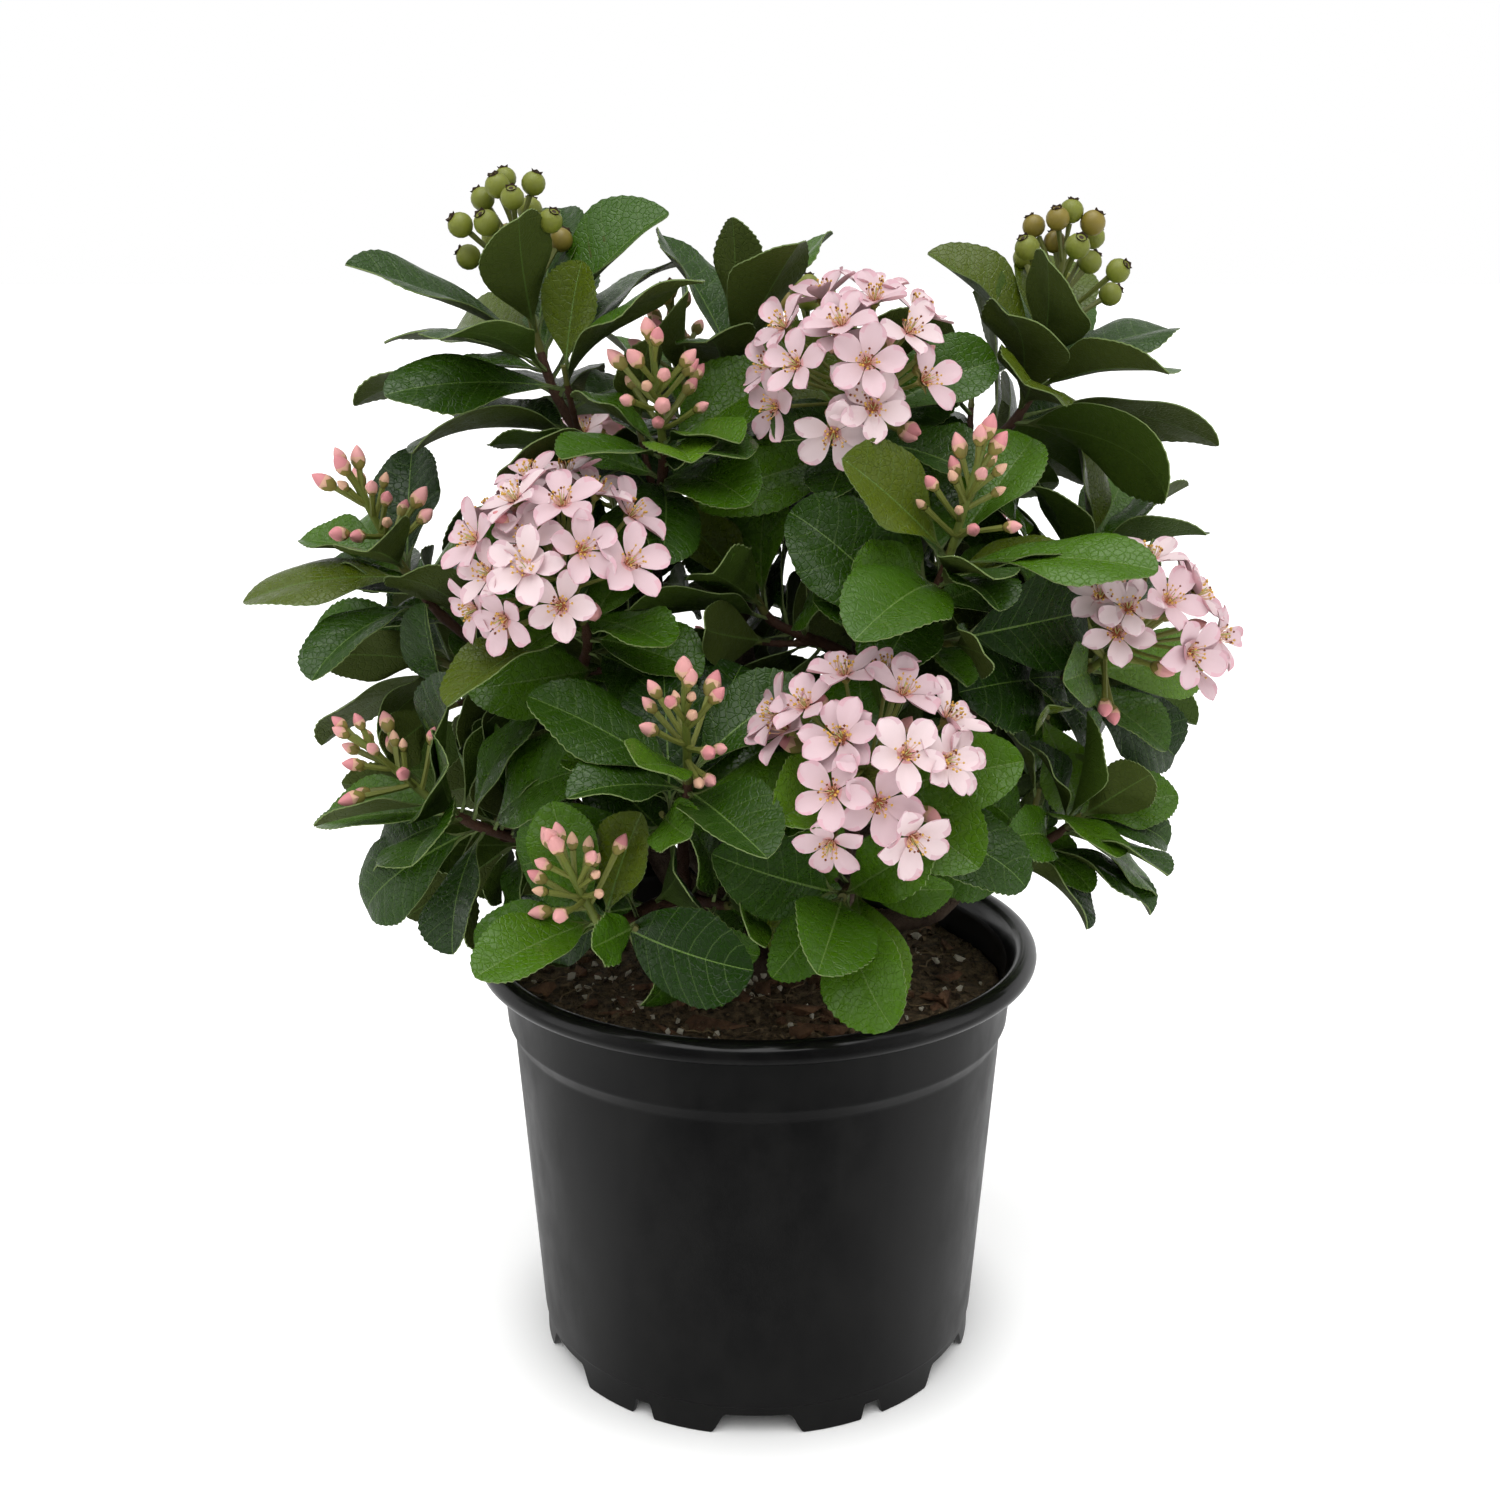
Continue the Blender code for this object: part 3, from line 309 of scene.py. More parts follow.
def fans(faces):
    return [(face[0], face[i], face[i + 1]) for face in faces for i in range(1, len(face) - 1)]


def loft(rings, tip=None, root=None):
    """A closed skin over rings of equally many points. Each end is capped, or closed to a point."""
    sides = len(rings[0])
    points = [point for ring in rings for point in ring]
    if root is None:
        faces = [tuple(range(sides))[::-1]]
    else:
        points.append(root)
        faces = [((side + 1) % sides, side, len(points) - 1) for side in range(sides)]
    for row in range(len(rings) - 1):
        for side in range(sides):
            a, b = row * sides + side, row * sides + (side + 1) % sides
            faces.append((a, b, b + sides, a + sides))
    last = (len(rings) - 1) * sides
    if tip is None:
        faces.append(tuple(last + side for side in range(sides)))
    else:
        points.append(tip)
        faces += [(last + side, last + (side + 1) % sides, len(points) - 1) for side in range(sides)]
    return points, fans(faces)


def ring_round(centre, axis, radius, sides):
    first, second = across(axis)
    turns = [tau * side / sides for side in range(sides)]
    return [centre + (first * cos(t) + second * sin(t)) * radius for t in turns]


def tube(points, radii, sides=3):
    """A tube along the points. Its rings stand square to the run of the line."""
    rings = []
    for i, point in enumerate(points):
        run = points[min(i + 1, len(points) - 1)] - points[max(i - 1, 0)]
        rings.append(ring_round(point, run.normalized(), radii[i], sides))
    return loft(rings)


def spun(root, axis, profile, tip_at, sides):
    """A closed shape round an axis: profile is (distance along, radius), and it ends in a point."""
    rings = [ring_round(root + axis * along, axis, radius, sides) for along, radius in profile]
    return loft(rings, root + axis * tip_at)


Leaf = namedtuple("Leaf", "root heading up length width arch")


def leaf_frame(leaf, share):
    """The point, the upward and the sideways direction at a share of the leaf's length. It arches back."""
    side = leaf.heading.cross(leaf.up)
    turn = leaf.arch * share
    along = sin(turn) / leaf.arch
    drop = (1 - cos(turn)) / leaf.arch
    point = leaf.root + (leaf.heading * along - leaf.up * drop) * leaf.length
    return point, leaf.heading * sin(turn) + leaf.up * cos(turn), side


def leaf_loft(leaf, margin, outline, root=None):
    rings = []
    for share, width, keel in outline:
        point, up, side = leaf_frame(leaf, share)
        half = side * (leaf.width * width / 2 + margin)
        rings.append([point + half + up * margin, point - up * (keel + margin), point - half + up * margin])
    return loft(rings, leaf_frame(leaf, 1.0 + margin / leaf.length)[0], root)


def leaf_shape(leaf, margin=0.0):
    return leaf_loft(leaf, margin, LEAF_OUTLINE, leaf.root)


def blade_room(leaf):
    """The room that a leaf's blade takes up beyond its narrow foot."""
    return leaf_loft(leaf, GAP, ((LEAF_BLADE_FROM, LEAF_BLADE_FROM * 2, 0.5 * MM), *LEAF_OUTLINE))


Flower = namedtuple("Flower", "root centre axis spin radius")
Bud = namedtuple("Bud", "root axis pedicel size")
Berry = namedtuple("Berry", "root axis pedicel")
Stalk = namedtuple("Stalk", "path radii")


def star(flower, scale=1.0):
    """The directions of a flower's petals and notches by turns, and their tips."""
    first, second = across(flower.axis)
    outs, rim = [], []
    for number in range(10):
        turn = flower.spin + radians(36 * number)
        outs.append(first * cos(turn) + second * sin(turn))
        reach = flower.radius * scale * (FLOWER_NOTCH if number % 2 else 1.0)
        rim.append(flower.centre + outs[-1] * reach + flower.axis * reach * FLOWER_BOWL)
    return outs, rim


def flower_shape(flower):
    root, centre, axis, *_ = flower
    outs, rim = star(flower)
    points = ring_round(root, (centre - root).normalized(), PEDICEL_RADIUS, 5)
    points += [centre + out * 1.4 * MM - axis * 1.5 * MM for out in outs[1::2]]
    points += rim + [centre + axis * 0.5 * MM]
    faces = [(4, 3, 2, 1, 0)]
    nearest = min(range(5), key=lambda side: (points[side] - points[5]).length)
    for side in range(5):
        a, b = (side + nearest) % 5, (side + nearest + 1) % 5
        under, beyond = 5 + side, 5 + (side + 1) % 5
        notch, petal, last = 11 + 2 * side, 10 + (2 * side + 2) % 10, 10 + (2 * side + 3) % 10
        faces += [(a, b, beyond, under), (under, petal, notch), (under, beyond, petal), (beyond, last, petal)]
        faces += [(notch, petal, 20), (petal, last, 20)]
    return points, fans(faces)


def flower_room(centre, axis, radius):
    """The room that a flower's head takes up."""
    reach = (radius + GAP) / cos(pi / 8)
    under = ring_round(centre - axis * (1.5 * MM + GAP), axis, reach * 0.25, 8)
    return loft([under, ring_round(centre + axis * radius * FLOWER_BOWL, axis, reach, 8)])


def bud_shape(bud, margin=0.0):
    profile = (
        (0.0, PEDICEL_RADIUS + margin),
        (bud.pedicel, PEDICEL_RADIUS * 1.3 + margin),
        (bud.pedicel + BUD_LENGTH * bud.size * 0.45, BUD_RADIUS * bud.size + margin),
    )
    return spun(bud.root, bud.axis, profile, bud.pedicel + BUD_LENGTH * bud.size + margin, 3)


def berry_shape(berry, margin=0.0):
    profile = (
        (0.0, PEDICEL_RADIUS + margin),
        (berry.pedicel, PEDICEL_RADIUS * 1.3 + margin),
        (berry.pedicel + BERRY_RADIUS * 0.55, BERRY_RADIUS * 0.92 + margin),
        (berry.pedicel + BERRY_RADIUS * 1.5, BERRY_RADIUS * 0.86 + margin),
    )
    return spun(berry.root, berry.axis, profile, berry.pedicel + BERRY_RADIUS * 2.0 + margin, 4)


class Crowd:
    """Every piece placed so far, and the test that keeps a new piece out of the others' way."""

    def __init__(self):
        self.pieces = []

    def room(self, shape):
        """A shape's middle, its reach from there and its tree of faces."""
        points, faces = shape
        centre = sum(points, Vector()) / len(points)
        return centre, max((point - centre).length for point in points), BVHTree.FromPolygons(points, faces)

    def add(self, owner, kind, shape):
        self.pieces.append((owner, kind, *self.room(shape)))

    def touches(self, owner, shape, spare=()):
        """Whether the shape meets a piece. Pieces of its own shoot and of the spare kinds don't count."""
        centre, radius, tree = self.room(shape)
        for whose, kind, where, size, other in self.pieces:
            if whose == owner and kind in spare:
                continue
            if (where - centre).length < radius + size and tree.overlap(other):
                return True
        return False


# Limbs


def trunk_point(level):
    """The trunk's axis and radius at a level in millimetres above the soil."""
    lean = polar(TRUNK_LEAN_BEARING, 1, 0)
    foot = UP * (SOIL_MIDDLE_HEIGHT + GAP)
    for low, high in zip(TRUNK_STAGES, TRUNK_STAGES[1:]):
        if level <= high[0]:
            share = (level - low[0]) / (high[0] - low[0])
            point = foot + lean * mix(low[1], high[1], share) + UP * (level * MM)
            return point, mix(low[2], high[2], share) * MM
    raise ValueError("the level lies above the trunk")


def bough_path(bough):
    """The bough's line from just clear of the trunk, out and then up to its tip."""
    axis, radius = trunk_point(bough.level)
    tip = polar(bough.bearing, bough.reach, bough.height)
    out = (tip - axis) * Vector((1, 1, 0))
    out.normalize()
    start = axis + out * (radius + GAP * 2)
    elbow = start + out * BOUGH_BASE_RADIUS
    span = (tip - elbow).length
    climb = (tip - elbow).normalized()
    arrive = (climb + UP * 0.9 - out * 0.25).normalized()
    path = bezier(elbow, elbow + out * span * 0.22, tip - arrive * span * 0.4, tip, BOUGH_STAGES - 1)
    rng = Random(bough.name)
    for i in range(1, BOUGH_STAGES - 2):
        path[i] += Vector([rng.uniform(-1, 1) for _ in range(3)]) * span * BOUGH_WOBBLE
    return [start] + path


def stem_feet(shoots, tip, run):
    """The turn of each shoot's foot round its bough's tip: evenly spaced, and facing their crowns."""
    first, second = across(run)
    facing = {}
    for shoot in shoots:
        away = polar(shoot.bearing, shoot.reach, shoot.height) - tip
        facing[shoot.name] = atan2(away.dot(second), away.dot(first))
    order = sorted(facing, key=facing.get)
    step = tau / len(order)
    drift = [facing[name] - place * step for place, name in enumerate(order)]
    base = atan2(sum(map(sin, drift)), sum(map(cos, drift)))
    return {name: base + place * step for place, name in enumerate(order)}


def stem_path(shoot, tip, run, foot):
    """The shoot's stem, from beside its bough's tip to its crown."""
    crown = polar(shoot.bearing, shoot.reach, shoot.height)
    axis = heading(shoot.toward, shoot.lean)
    first, second = across(run)
    aside = first * cos(foot) + second * sin(foot)
    start = tip + run * (GAP + STEM_RADIUS * 0.7) + aside * STEM_SPREAD
    span = (crown - start).length
    leave = (run * 1.2 + aside * 0.5 + (crown - start) / span * 0.4).normalized()
    return bezier(start, start + leave * span * 0.3, crown - axis * span * 0.4, crown, STEM_STAGES), axis


def point_on(path, back):
    """The point this far back from the end of the line, and the run of the line there."""
    for i in range(len(path) - 1, 0, -1):
        run = path[i] - path[i - 1]
        if back <= run.length or i == 1:
            return path[i] - run.normalized() * min(back, run.length * 0.97), run.normalized()
        back -= run.length
    raise ValueError("a line has at least two points")


# Crops: each function yields (kind, record, shape, shape for the test)


def rooted(root, out):
    """Where a stalk starts, a little inside the stem that carries it."""
    return root + out * STEM_TIP_RADIUS * SUNK


def main_stalk(start, end):
    """The stalk that a cluster's flowers, buds or berries grow from."""
    stalk = Stalk([start, end], [STEM_TIP_RADIUS] * 2)
    return "crop", stalk, tube(*stalk), None


def blossom(crown, axis, rng):
    """Flowers on a dome round the crown, facing out, with a few buds below its edge."""
    middle = crown + axis * FLOWER_STALK
    yield main_stalk(crown - axis * 2 * MM, middle + axis * FLOWER_DOME * 0.34)
    for i in range(FLOWER_PLACES):
        share = sqrt((i + 0.3) / FLOWER_PLACES)
        out = leaning(axis, radians(FLOWER_CONE) * share, i * GOLDEN_ANGLE + rng.uniform(-0.2, 0.2))
        centre = middle + out * FLOWER_DOME * rng.uniform(0.94, 1.12)
        root = rooted(middle + axis * FLOWER_DOME * mix(0.3, -0.3, share), out)
        face = (out * 2.2 + axis * 0.5 + UP * 0.15).normalized()
        size = FLOWER_RADIUS * rng.uniform(0.9, 1.05)
        flower = Flower(root, centre, face, rng.uniform(0, 2), size)
        yield "flower", flower, flower_shape(flower), flower_room(centre, face, size)
    for _ in range(BLOSSOM_BUDS):
        out = leaning(axis, radians(rng.uniform(62, 80)), rng.uniform(0, tau))
        root = rooted(middle - axis * FLOWER_DOME * 0.34, out)
        bud = Bud(root, out, rng.uniform(15, 20) * MM, rng.uniform(0.85, 1.1))
        yield "bud", bud, bud_shape(bud), bud_shape(bud, GAP)


def buds(crown, axis, rng):
    """A cone of buds, the lower ones leaning further out, round one at the top."""
    yield main_stalk(crown - axis * 2 * MM, crown + axis * PANICLE_LENGTH * 0.74)
    for i in range(BUD_COUNT):
        share = i / (BUD_COUNT - 1)
        opening = radians(mix(4, 58, share**0.8) + rng.uniform(-5, 5))
        out = leaning(axis, opening, i * GOLDEN_ANGLE + rng.uniform(-0.25, 0.25))
        root = rooted(crown + axis * PANICLE_LENGTH * mix(0.7, 0.12, share), out)
        pedicel = PANICLE_LENGTH * mix(0.1, 0.4, share) * rng.uniform(0.85, 1.1)
        bud = Bud(root, out, pedicel, rng.uniform(0.72, 1.08))
        yield "bud", bud, bud_shape(bud), bud_shape(bud, GAP)


def berries(crown, axis, rng):
    """A spray of berries on stalks that fork off one after another."""
    yield main_stalk(crown - axis * 2 * MM, crown + axis * BERRY_LENGTH * 0.72)
    for i in range(BERRY_COUNT):
        share = i / (BERRY_COUNT - 1)
        opening = radians(mix(6, 50, share**0.6) + rng.uniform(-5, 5))
        out = leaning(axis, opening, i * GOLDEN_ANGLE + rng.uniform(-0.3, 0.3))
        root = rooted(crown + axis * BERRY_LENGTH * mix(0.68, 0.22, share), out)
        berry = Berry(root, out, BERRY_LENGTH * mix(0.18, 0.5, share) * rng.uniform(0.85, 1.1))
        yield "berry", berry, berry_shape(berry), berry_shape(berry, GAP)


CROPS = {"blossom": blossom, "buds": buds, "berries": berries, "leaves": lambda crown, axis, rng: ()}


def leaf_sides(run, out, toward):
    """The sideways and upward directions of a leaf that points out from this run of its stem."""
    side = run.cross(out).normalized()
    up = side.cross(out).normalized()
    return side, -up if up.dot(toward) < 0 else up


def whorl_leaf(path, index, count, length, turn, least, most, depth, rng, attempt):
    """One leaf of a whorl. The innermost stand up and are small; the lowest lie open and are full-sized."""
    share = index / max(count - 1, 1)
    middle, run = point_on(path, 1.2 * MM + depth * share**1.2)
    swing = radians((attempt + 1) // 2 * 13 * (1 if attempt % 2 else -1))
    azimuth = radians(turn) + index * GOLDEN_ANGLE + rng.uniform(-0.15, 0.15) + swing
    opening = radians(mix(least, most, share**0.7) + rng.uniform(-7, 7))
    out = leaning(run, opening, azimuth)
    out = (out + UP * (LEAF_LIFT * max(0.0, 0.3 - out.z))).normalized()
    side, up = leaf_sides(run, out, run)
    roll = rng.uniform(-0.35, 0.35)
    up = (up * cos(roll) + side * sin(roll)).normalized()
    size = length * MM * mix(0.7, 1.0, min(1, share * 1.8)) * rng.uniform(0.92, 1.14) * 0.96**attempt
    width = min(size, LEAF_BROAD) * LEAF_WIDTH * rng.uniform(0.8, 1.08)
    arch = mix(0.25, 0.8, share) + rng.uniform(-0.15, 0.25)
    aside = (out - run * out.dot(run)).normalized()
    return Leaf(middle - aside * STEM_TIP_RADIUS * LEAF_SUNK, out, up, size, width, arch)


def hides_soil(leaf):
    """Whether the leaf hangs in a clearing."""
    for share, edge in ((0.5, -0.4), (0.5, 0.4), (0.75, -0.4), (0.75, 0.4), (1.0, 0.0)):
        middle, _, side = leaf_frame(leaf, share)
        spot = (middle + side * leaf.width * edge) / MM
        rise = spot.z * cos(VIEW_TILT) + spot.y * sin(VIEW_TILT)
        for (left, right), (low, high) in CLEARINGS:
            if spot.y < 0 and left < spot.x < right and low < rise < high:
                return True
    return False


def side_twig(path, rng):
    """A twig from the lower part of a stem, out to one side and up."""
    length = sum((b - a).length for a, b in zip(path, path[1:]))
    root, run = point_on(path, length * rng.uniform(0.45, 0.75))
    out = leaning(run, radians(rng.uniform(35, 62)), rng.uniform(0, tau))
    return [root, root + (out + UP * 0.25).normalized() * rng.uniform(14, 24) * MM]


class Plant:
    """Everything that grows from the boughs, shoot by shoot, and the crowd that it stands in."""

    def __init__(self, stems, crowd):
        self.stems = stems
        self.crowd = crowd
        self.twigs = {}
        self.grown = {shoot.name: [] for shoot in SHOOTS}

    def add(self, name, kind, record, shape, as_kind=None):
        self.grown[name].append((kind, record))
        self.crowd.add(name, as_kind or kind, shape)

    def records(self, kind, names=None):
        """(shoot name, record) of every piece of a kind."""
        return [
            (name, record)
            for name in names or self.grown
            for what, record in self.grown[name]
            if what == kind
        ]

    def place_leaf(self, name, kind, whorl, depth, age):
        """Adds a leaf of a whorl at the first of its tries that fits, if any does."""
        for attempt in range(LEAF_TRIES):
            leaf = whorl_leaf(*whorl, depth, Random(f"{name} {kind} {whorl[1]}"), attempt)
            if self.fits(name, leaf, GAP):
                self.add(name, "leaf", (leaf, age), leaf_shape(leaf))
                return

    def fits(self, name, leaf, margin):
        """Whether the leaf hangs neither too low nor in a clearing, and is clear of the crowd."""
        tip = leaf_frame(leaf, 1.0)[0]
        if tip.z < np.interp(tip.xy.length, *LOWEST_TIPS) or hides_soil(leaf):
            return False
        if self.crowd.touches(name, leaf_shape(leaf, margin), ("stem", "crop", "leaf")):
            return False
        return not self.crowd.touches(name, blade_room(leaf), ("stem",))


def grow(plant):
    """Stems and crops come first, and then the shoots take turns to place a leaf."""
    stems, crowd = plant.stems, plant.crowd
    for shoot in SHOOTS:
        path, axis = stems[shoot.name]
        radii = [mix(STEM_RADIUS, STEM_TIP_RADIUS, i / STEM_STAGES) for i in range(STEM_STAGES + 1)]
        plant.add(shoot.name, "stem", Stalk(path, radii), tube(path, radii))
    for shoot in SHOOTS:
        path, axis = stems[shoot.name]
        rng, flowers = Random(shoot.name + " crop"), 0
        for kind, record, shape, test in CROPS[shoot.crop](path[-1], axis, rng):
            spare = ("stem", "crop", "stalk") + ((kind,) if kind != "flower" else ())
            if kind == "flower" and flowers == FLOWER_COUNT:
                continue
            if test is None or not crowd.touches(shoot.name, test, spare):
                plant.add(shoot.name, kind, record, shape, "stalk" if kind == "flower" else kind)
                if kind == "flower":
                    crowd.add(shoot.name, kind, test)
                    flowers += 1
    for shoot in SHOOTS:
        for number in range(shoot.twigs):
            rng = Random(f"{shoot.name} twig {number}")
            for _ in range(LEAF_TRIES):
                path = side_twig(stems[shoot.name][0], rng)
                test = tube(path, [TWIG_RADIUS + GAP, TWIG_RADIUS * 0.8 + GAP])
                if not crowd.touches(shoot.name, test, ("stem",)):
                    radii = [TWIG_RADIUS, TWIG_RADIUS * 0.8]
                    plant.add(shoot.name, "twig", Stalk(path, radii), tube(path, radii), "stem")
                    plant.twigs[shoot.name, number] = path
                    break
    for index in range(max(shoot.leaves for shoot in SHOOTS)):
        for shoot in SHOOTS:
            if index < shoot.leaves:
                open_at = (LEAST_OPENING[shoot.crop], mix(*MOST_OPENING, shoot.lean / 90))
                whorl = (stems[shoot.name][0], index, shoot.leaves, shoot.length, shoot.turn, *open_at)
                plant.place_leaf(shoot.name, "leaf", whorl, WHORL_DEPTH, index / (shoot.leaves - 1))
            for number in range(shoot.twigs):
                if index < TWIG_LEAVES and (shoot.name, number) in plant.twigs:
                    length = shoot.length * TWIG_LEAF_SHARE
                    path = plant.twigs[shoot.name, number]
                    whorl = (path, index, TWIG_LEAVES, length, shoot.turn + 70, 24.0, 90.0)
                    plant.place_leaf(shoot.name, f"twig {number} leaf", whorl, WHORL_DEPTH * 0.5, 0.5)


# Growth beyond the solids


def flower_head(flower, scale):
    """A flower's petals as a flat star, without its pedicel."""
    return star(flower, scale)[1] + [flower.centre], [(number, (number + 1) % 10, 10) for number in range(10)]


def fill_blossom(plant, shoot):
    """More flowers, each between, behind or above the first ones of its cluster."""
    path, axis = plant.stems[shoot.name]
    crown = path[-1]
    middle = crown + axis * FLOWER_STALK
    heads = Crowd()
    grown = plant.grown[shoot.name]
    for number, (kind, flower) in enumerate(grown):
        if kind == "flower":
            flower = flower._replace(centre=middle.lerp(flower.centre, DOME_SHARE))
            grown[number] = (kind, flower)
            heads.add("", "", flower_head(flower, 0.9))
    count = len(plant.records("flower", [shoot.name]))
    rng = Random(shoot.name + " fill")
    for reach in FILL_REACHES:
        for i in range(FILL_PLACES):
            if count >= FULL_BLOSSOM.get(shoot.name, FULL_BLOSSOM_ELSEWHERE):
                return
            share = sqrt((i + 0.5) / FILL_PLACES)
            out = leaning(axis, radians(FLOWER_CONE + 14) * share, i * GOLDEN_ANGLE + rng.uniform(-0.2, 0.2))
            centre = middle + out * FLOWER_DOME * reach * rng.uniform(0.96, 1.04)
            root = rooted(middle + axis * FLOWER_DOME * mix(0.3, -0.3, share), out)
            face = (out * 2.2 + axis * 0.4 + Vector([rng.uniform(-0.5, 0.5) for _ in range(3)])).normalized()
            flower = Flower(root, centre, face, rng.uniform(0, 2), FLOWER_RADIUS * rng.uniform(0.86, 1.0))
            head = flower_head(flower, 0.6)
            beside = heads.touches("other", flower_head(flower, 0.72))
            if beside or plant.crowd.touches(shoot.name, head, OWN_CROP):
                continue
            heads.add("", "", flower_head(flower, 0.9))
            plant.add(shoot.name, "flower", flower, head, "head")
            count += 1


def fill_blossom_buds(plant, shoot):
    """Buds that are still to open, on shorter stalks among the flowers."""
    path, axis = plant.stems[shoot.name]
    middle = path[-1] + axis * FLOWER_STALK
    rng = Random(shoot.name + " closed")
    for number in range(FULL_BLOSSOM_BUDS):
        share = sqrt((number + 0.5) / FULL_BLOSSOM_BUDS)
        out = leaning(axis, radians(84) * share, number * GOLDEN_ANGLE + rng.uniform(0, 1))
        root = rooted(middle + axis * FLOWER_DOME * mix(0.3, -0.4, share), out)
        bud = Bud(root, out, FLOWER_DOME * rng.uniform(0.45, 0.8), rng.uniform(0.6, 1.15))
        if not plant.crowd.touches(shoot.name, bud_shape(bud), OWN_CROP):
            plant.add(shoot.name, "bud", bud, bud_shape(bud))


OWN_CROP = ("stem", "crop", "stalk", "flower", "bud", "head", "berry")


def fill_between(plant, shoot, kind, seed, tries, full, grow_one, shape, middle, apart):
    """Adds pieces between those of the shoot's crop, whose middles stay this far apart, until it is full."""
    rng = Random(f"{shoot.name} {seed}")
    grown = [one for _, one in plant.records(kind, [shoot.name])]
    for _ in range(tries):
        if len(grown) >= full:
            return
        piece = grow_one(rng)
        centre, *others = [one.root + one.axis * (one.pedicel + middle) for one in (piece, *grown)]
        if min((centre - other).length for other in others) < apart:
            continue
        if not plant.crowd.touches(shoot.name, shape(piece), OWN_CROP):
            plant.add(shoot.name, kind, piece, shape(piece))
            grown.append(piece)


def fill_buds(plant, shoot):
    """Smaller buds between the first ones."""
    path, axis = plant.stems[shoot.name]

    def bud(rng):
        share = rng.uniform(0.1, 1.0)
        out = leaning(axis, radians(mix(14, 66, share) + rng.uniform(-8, 8)), rng.uniform(0, tau))
        root = rooted(path[-1] + axis * PANICLE_LENGTH * mix(0.7, 0.06, share), out)
        pedicel = PANICLE_LENGTH * mix(0.1, 0.36, share) * rng.uniform(0.7, 1.0)
        return Bud(root, out, pedicel, rng.uniform(0.55, 0.9))

    middle, apart = BUD_LENGTH * 0.3, BUD_RADIUS * 2.1
    fill_between(plant, shoot, "bud", "small buds", 40, FULL_PANICLE, bud, bud_shape, middle, apart)


def fill_berries(plant, shoot):
    """More berries between the first ones."""
    path, axis = plant.stems[shoot.name]

    def berry(rng):
        share = rng.uniform(0.0, 1.0)
        out = leaning(axis, radians(mix(16, 56, share) + rng.uniform(-6, 6)), rng.uniform(0, tau))
        root = rooted(path[-1] + axis * BERRY_LENGTH * mix(0.6, 0.16, share), out)
        return Berry(root, out, BERRY_LENGTH * mix(0.14, 0.46, share) * rng.uniform(0.8, 1.05))

    middle, apart = BERRY_RADIUS, BERRY_RADIUS * 2.0
    fill_between(plant, shoot, "berry", "more berries", 60, FULL_SPRAY, berry, berry_shape, middle, apart)


def fill_leaves(plant, shoot, number):
    """A smaller leaf further down the stem, where there is room for it."""
    path = plant.stems[shoot.name][0]
    length = sum((b - a).length for a, b in zip(path, path[1:]))
    for attempt in range(FILL_TRIES):
        rng = Random(f"{shoot.name} low leaf {number} {attempt}")
        middle, run = point_on(path, mix(0.12, 0.8, rng.random()) * length)
        out = leaning(run, radians(rng.uniform(35, 88)), rng.uniform(0, tau))
        out = (out + UP * 0.2).normalized()
        _, up = leaf_sides(run, out, UP)
        size = shoot.length * MM * rng.uniform(0.5, 0.86)
        width = size * LEAF_WIDTH * rng.uniform(0.9, 1.1)
        leaf = Leaf(middle, out, up, size, width, rng.uniform(0.25, 0.9))
        if inside(leaf_frame(leaf, 1.0)[0]) and plant.fits(shoot.name, leaf, 0.0):
            plant.add(shoot.name, "leaf", (leaf, rng.uniform(0.4, 1.0)), leaf_shape(leaf))
            return


FILL_TRIES = 14
LOW_LEAVES = 7


def inside(point):
    """Whether a point lies within the box of the solids."""
    low, high = CAD_BOX
    return all(low[i] + 1 * MM < point[i] < high[i] - 1 * MM for i in range(3))


@functools.cache
def grown_plant():
    """The whole plant's records. It grows once, for all the pieces."""
    crowd = Crowd()
    for name in ("pot", "potting_mix", "trunk", *(bough.name for bough in BOUGHS)):
        mesh = frame["nodes"][name].data
        points = [vertex.co.copy() for vertex in mesh.vertices]
        crowd.add(name, "limb", (points, [tuple(polygon.vertices) for polygon in mesh.polygons]))
    stems = {}
    for bough in BOUGHS:
        path = bough_path(bough)
        tip, run = path[-1], (path[-1] - path[-2]).normalized()
        carried = [shoot for shoot in SHOOTS if shoot.bough == bough.name]
        feet = stem_feet(carried, tip, run)
        stems.update({shoot.name: stem_path(shoot, tip, run, feet[shoot.name]) for shoot in carried})
    plant = Plant(stems, crowd)
    grow(plant)
    for shoot in SHOOTS:
        for fill in FILLS.get(shoot.crop, ()):
            fill(plant, shoot)
    for number in range(LOW_LEAVES):
        for shoot in SHOOTS:
            fill_leaves(plant, shoot, number)
    return plant


FILLS = {"blossom": (fill_blossom, fill_blossom_buds), "buds": (fill_buds,), "berries": (fill_berries,)}


# Meshes


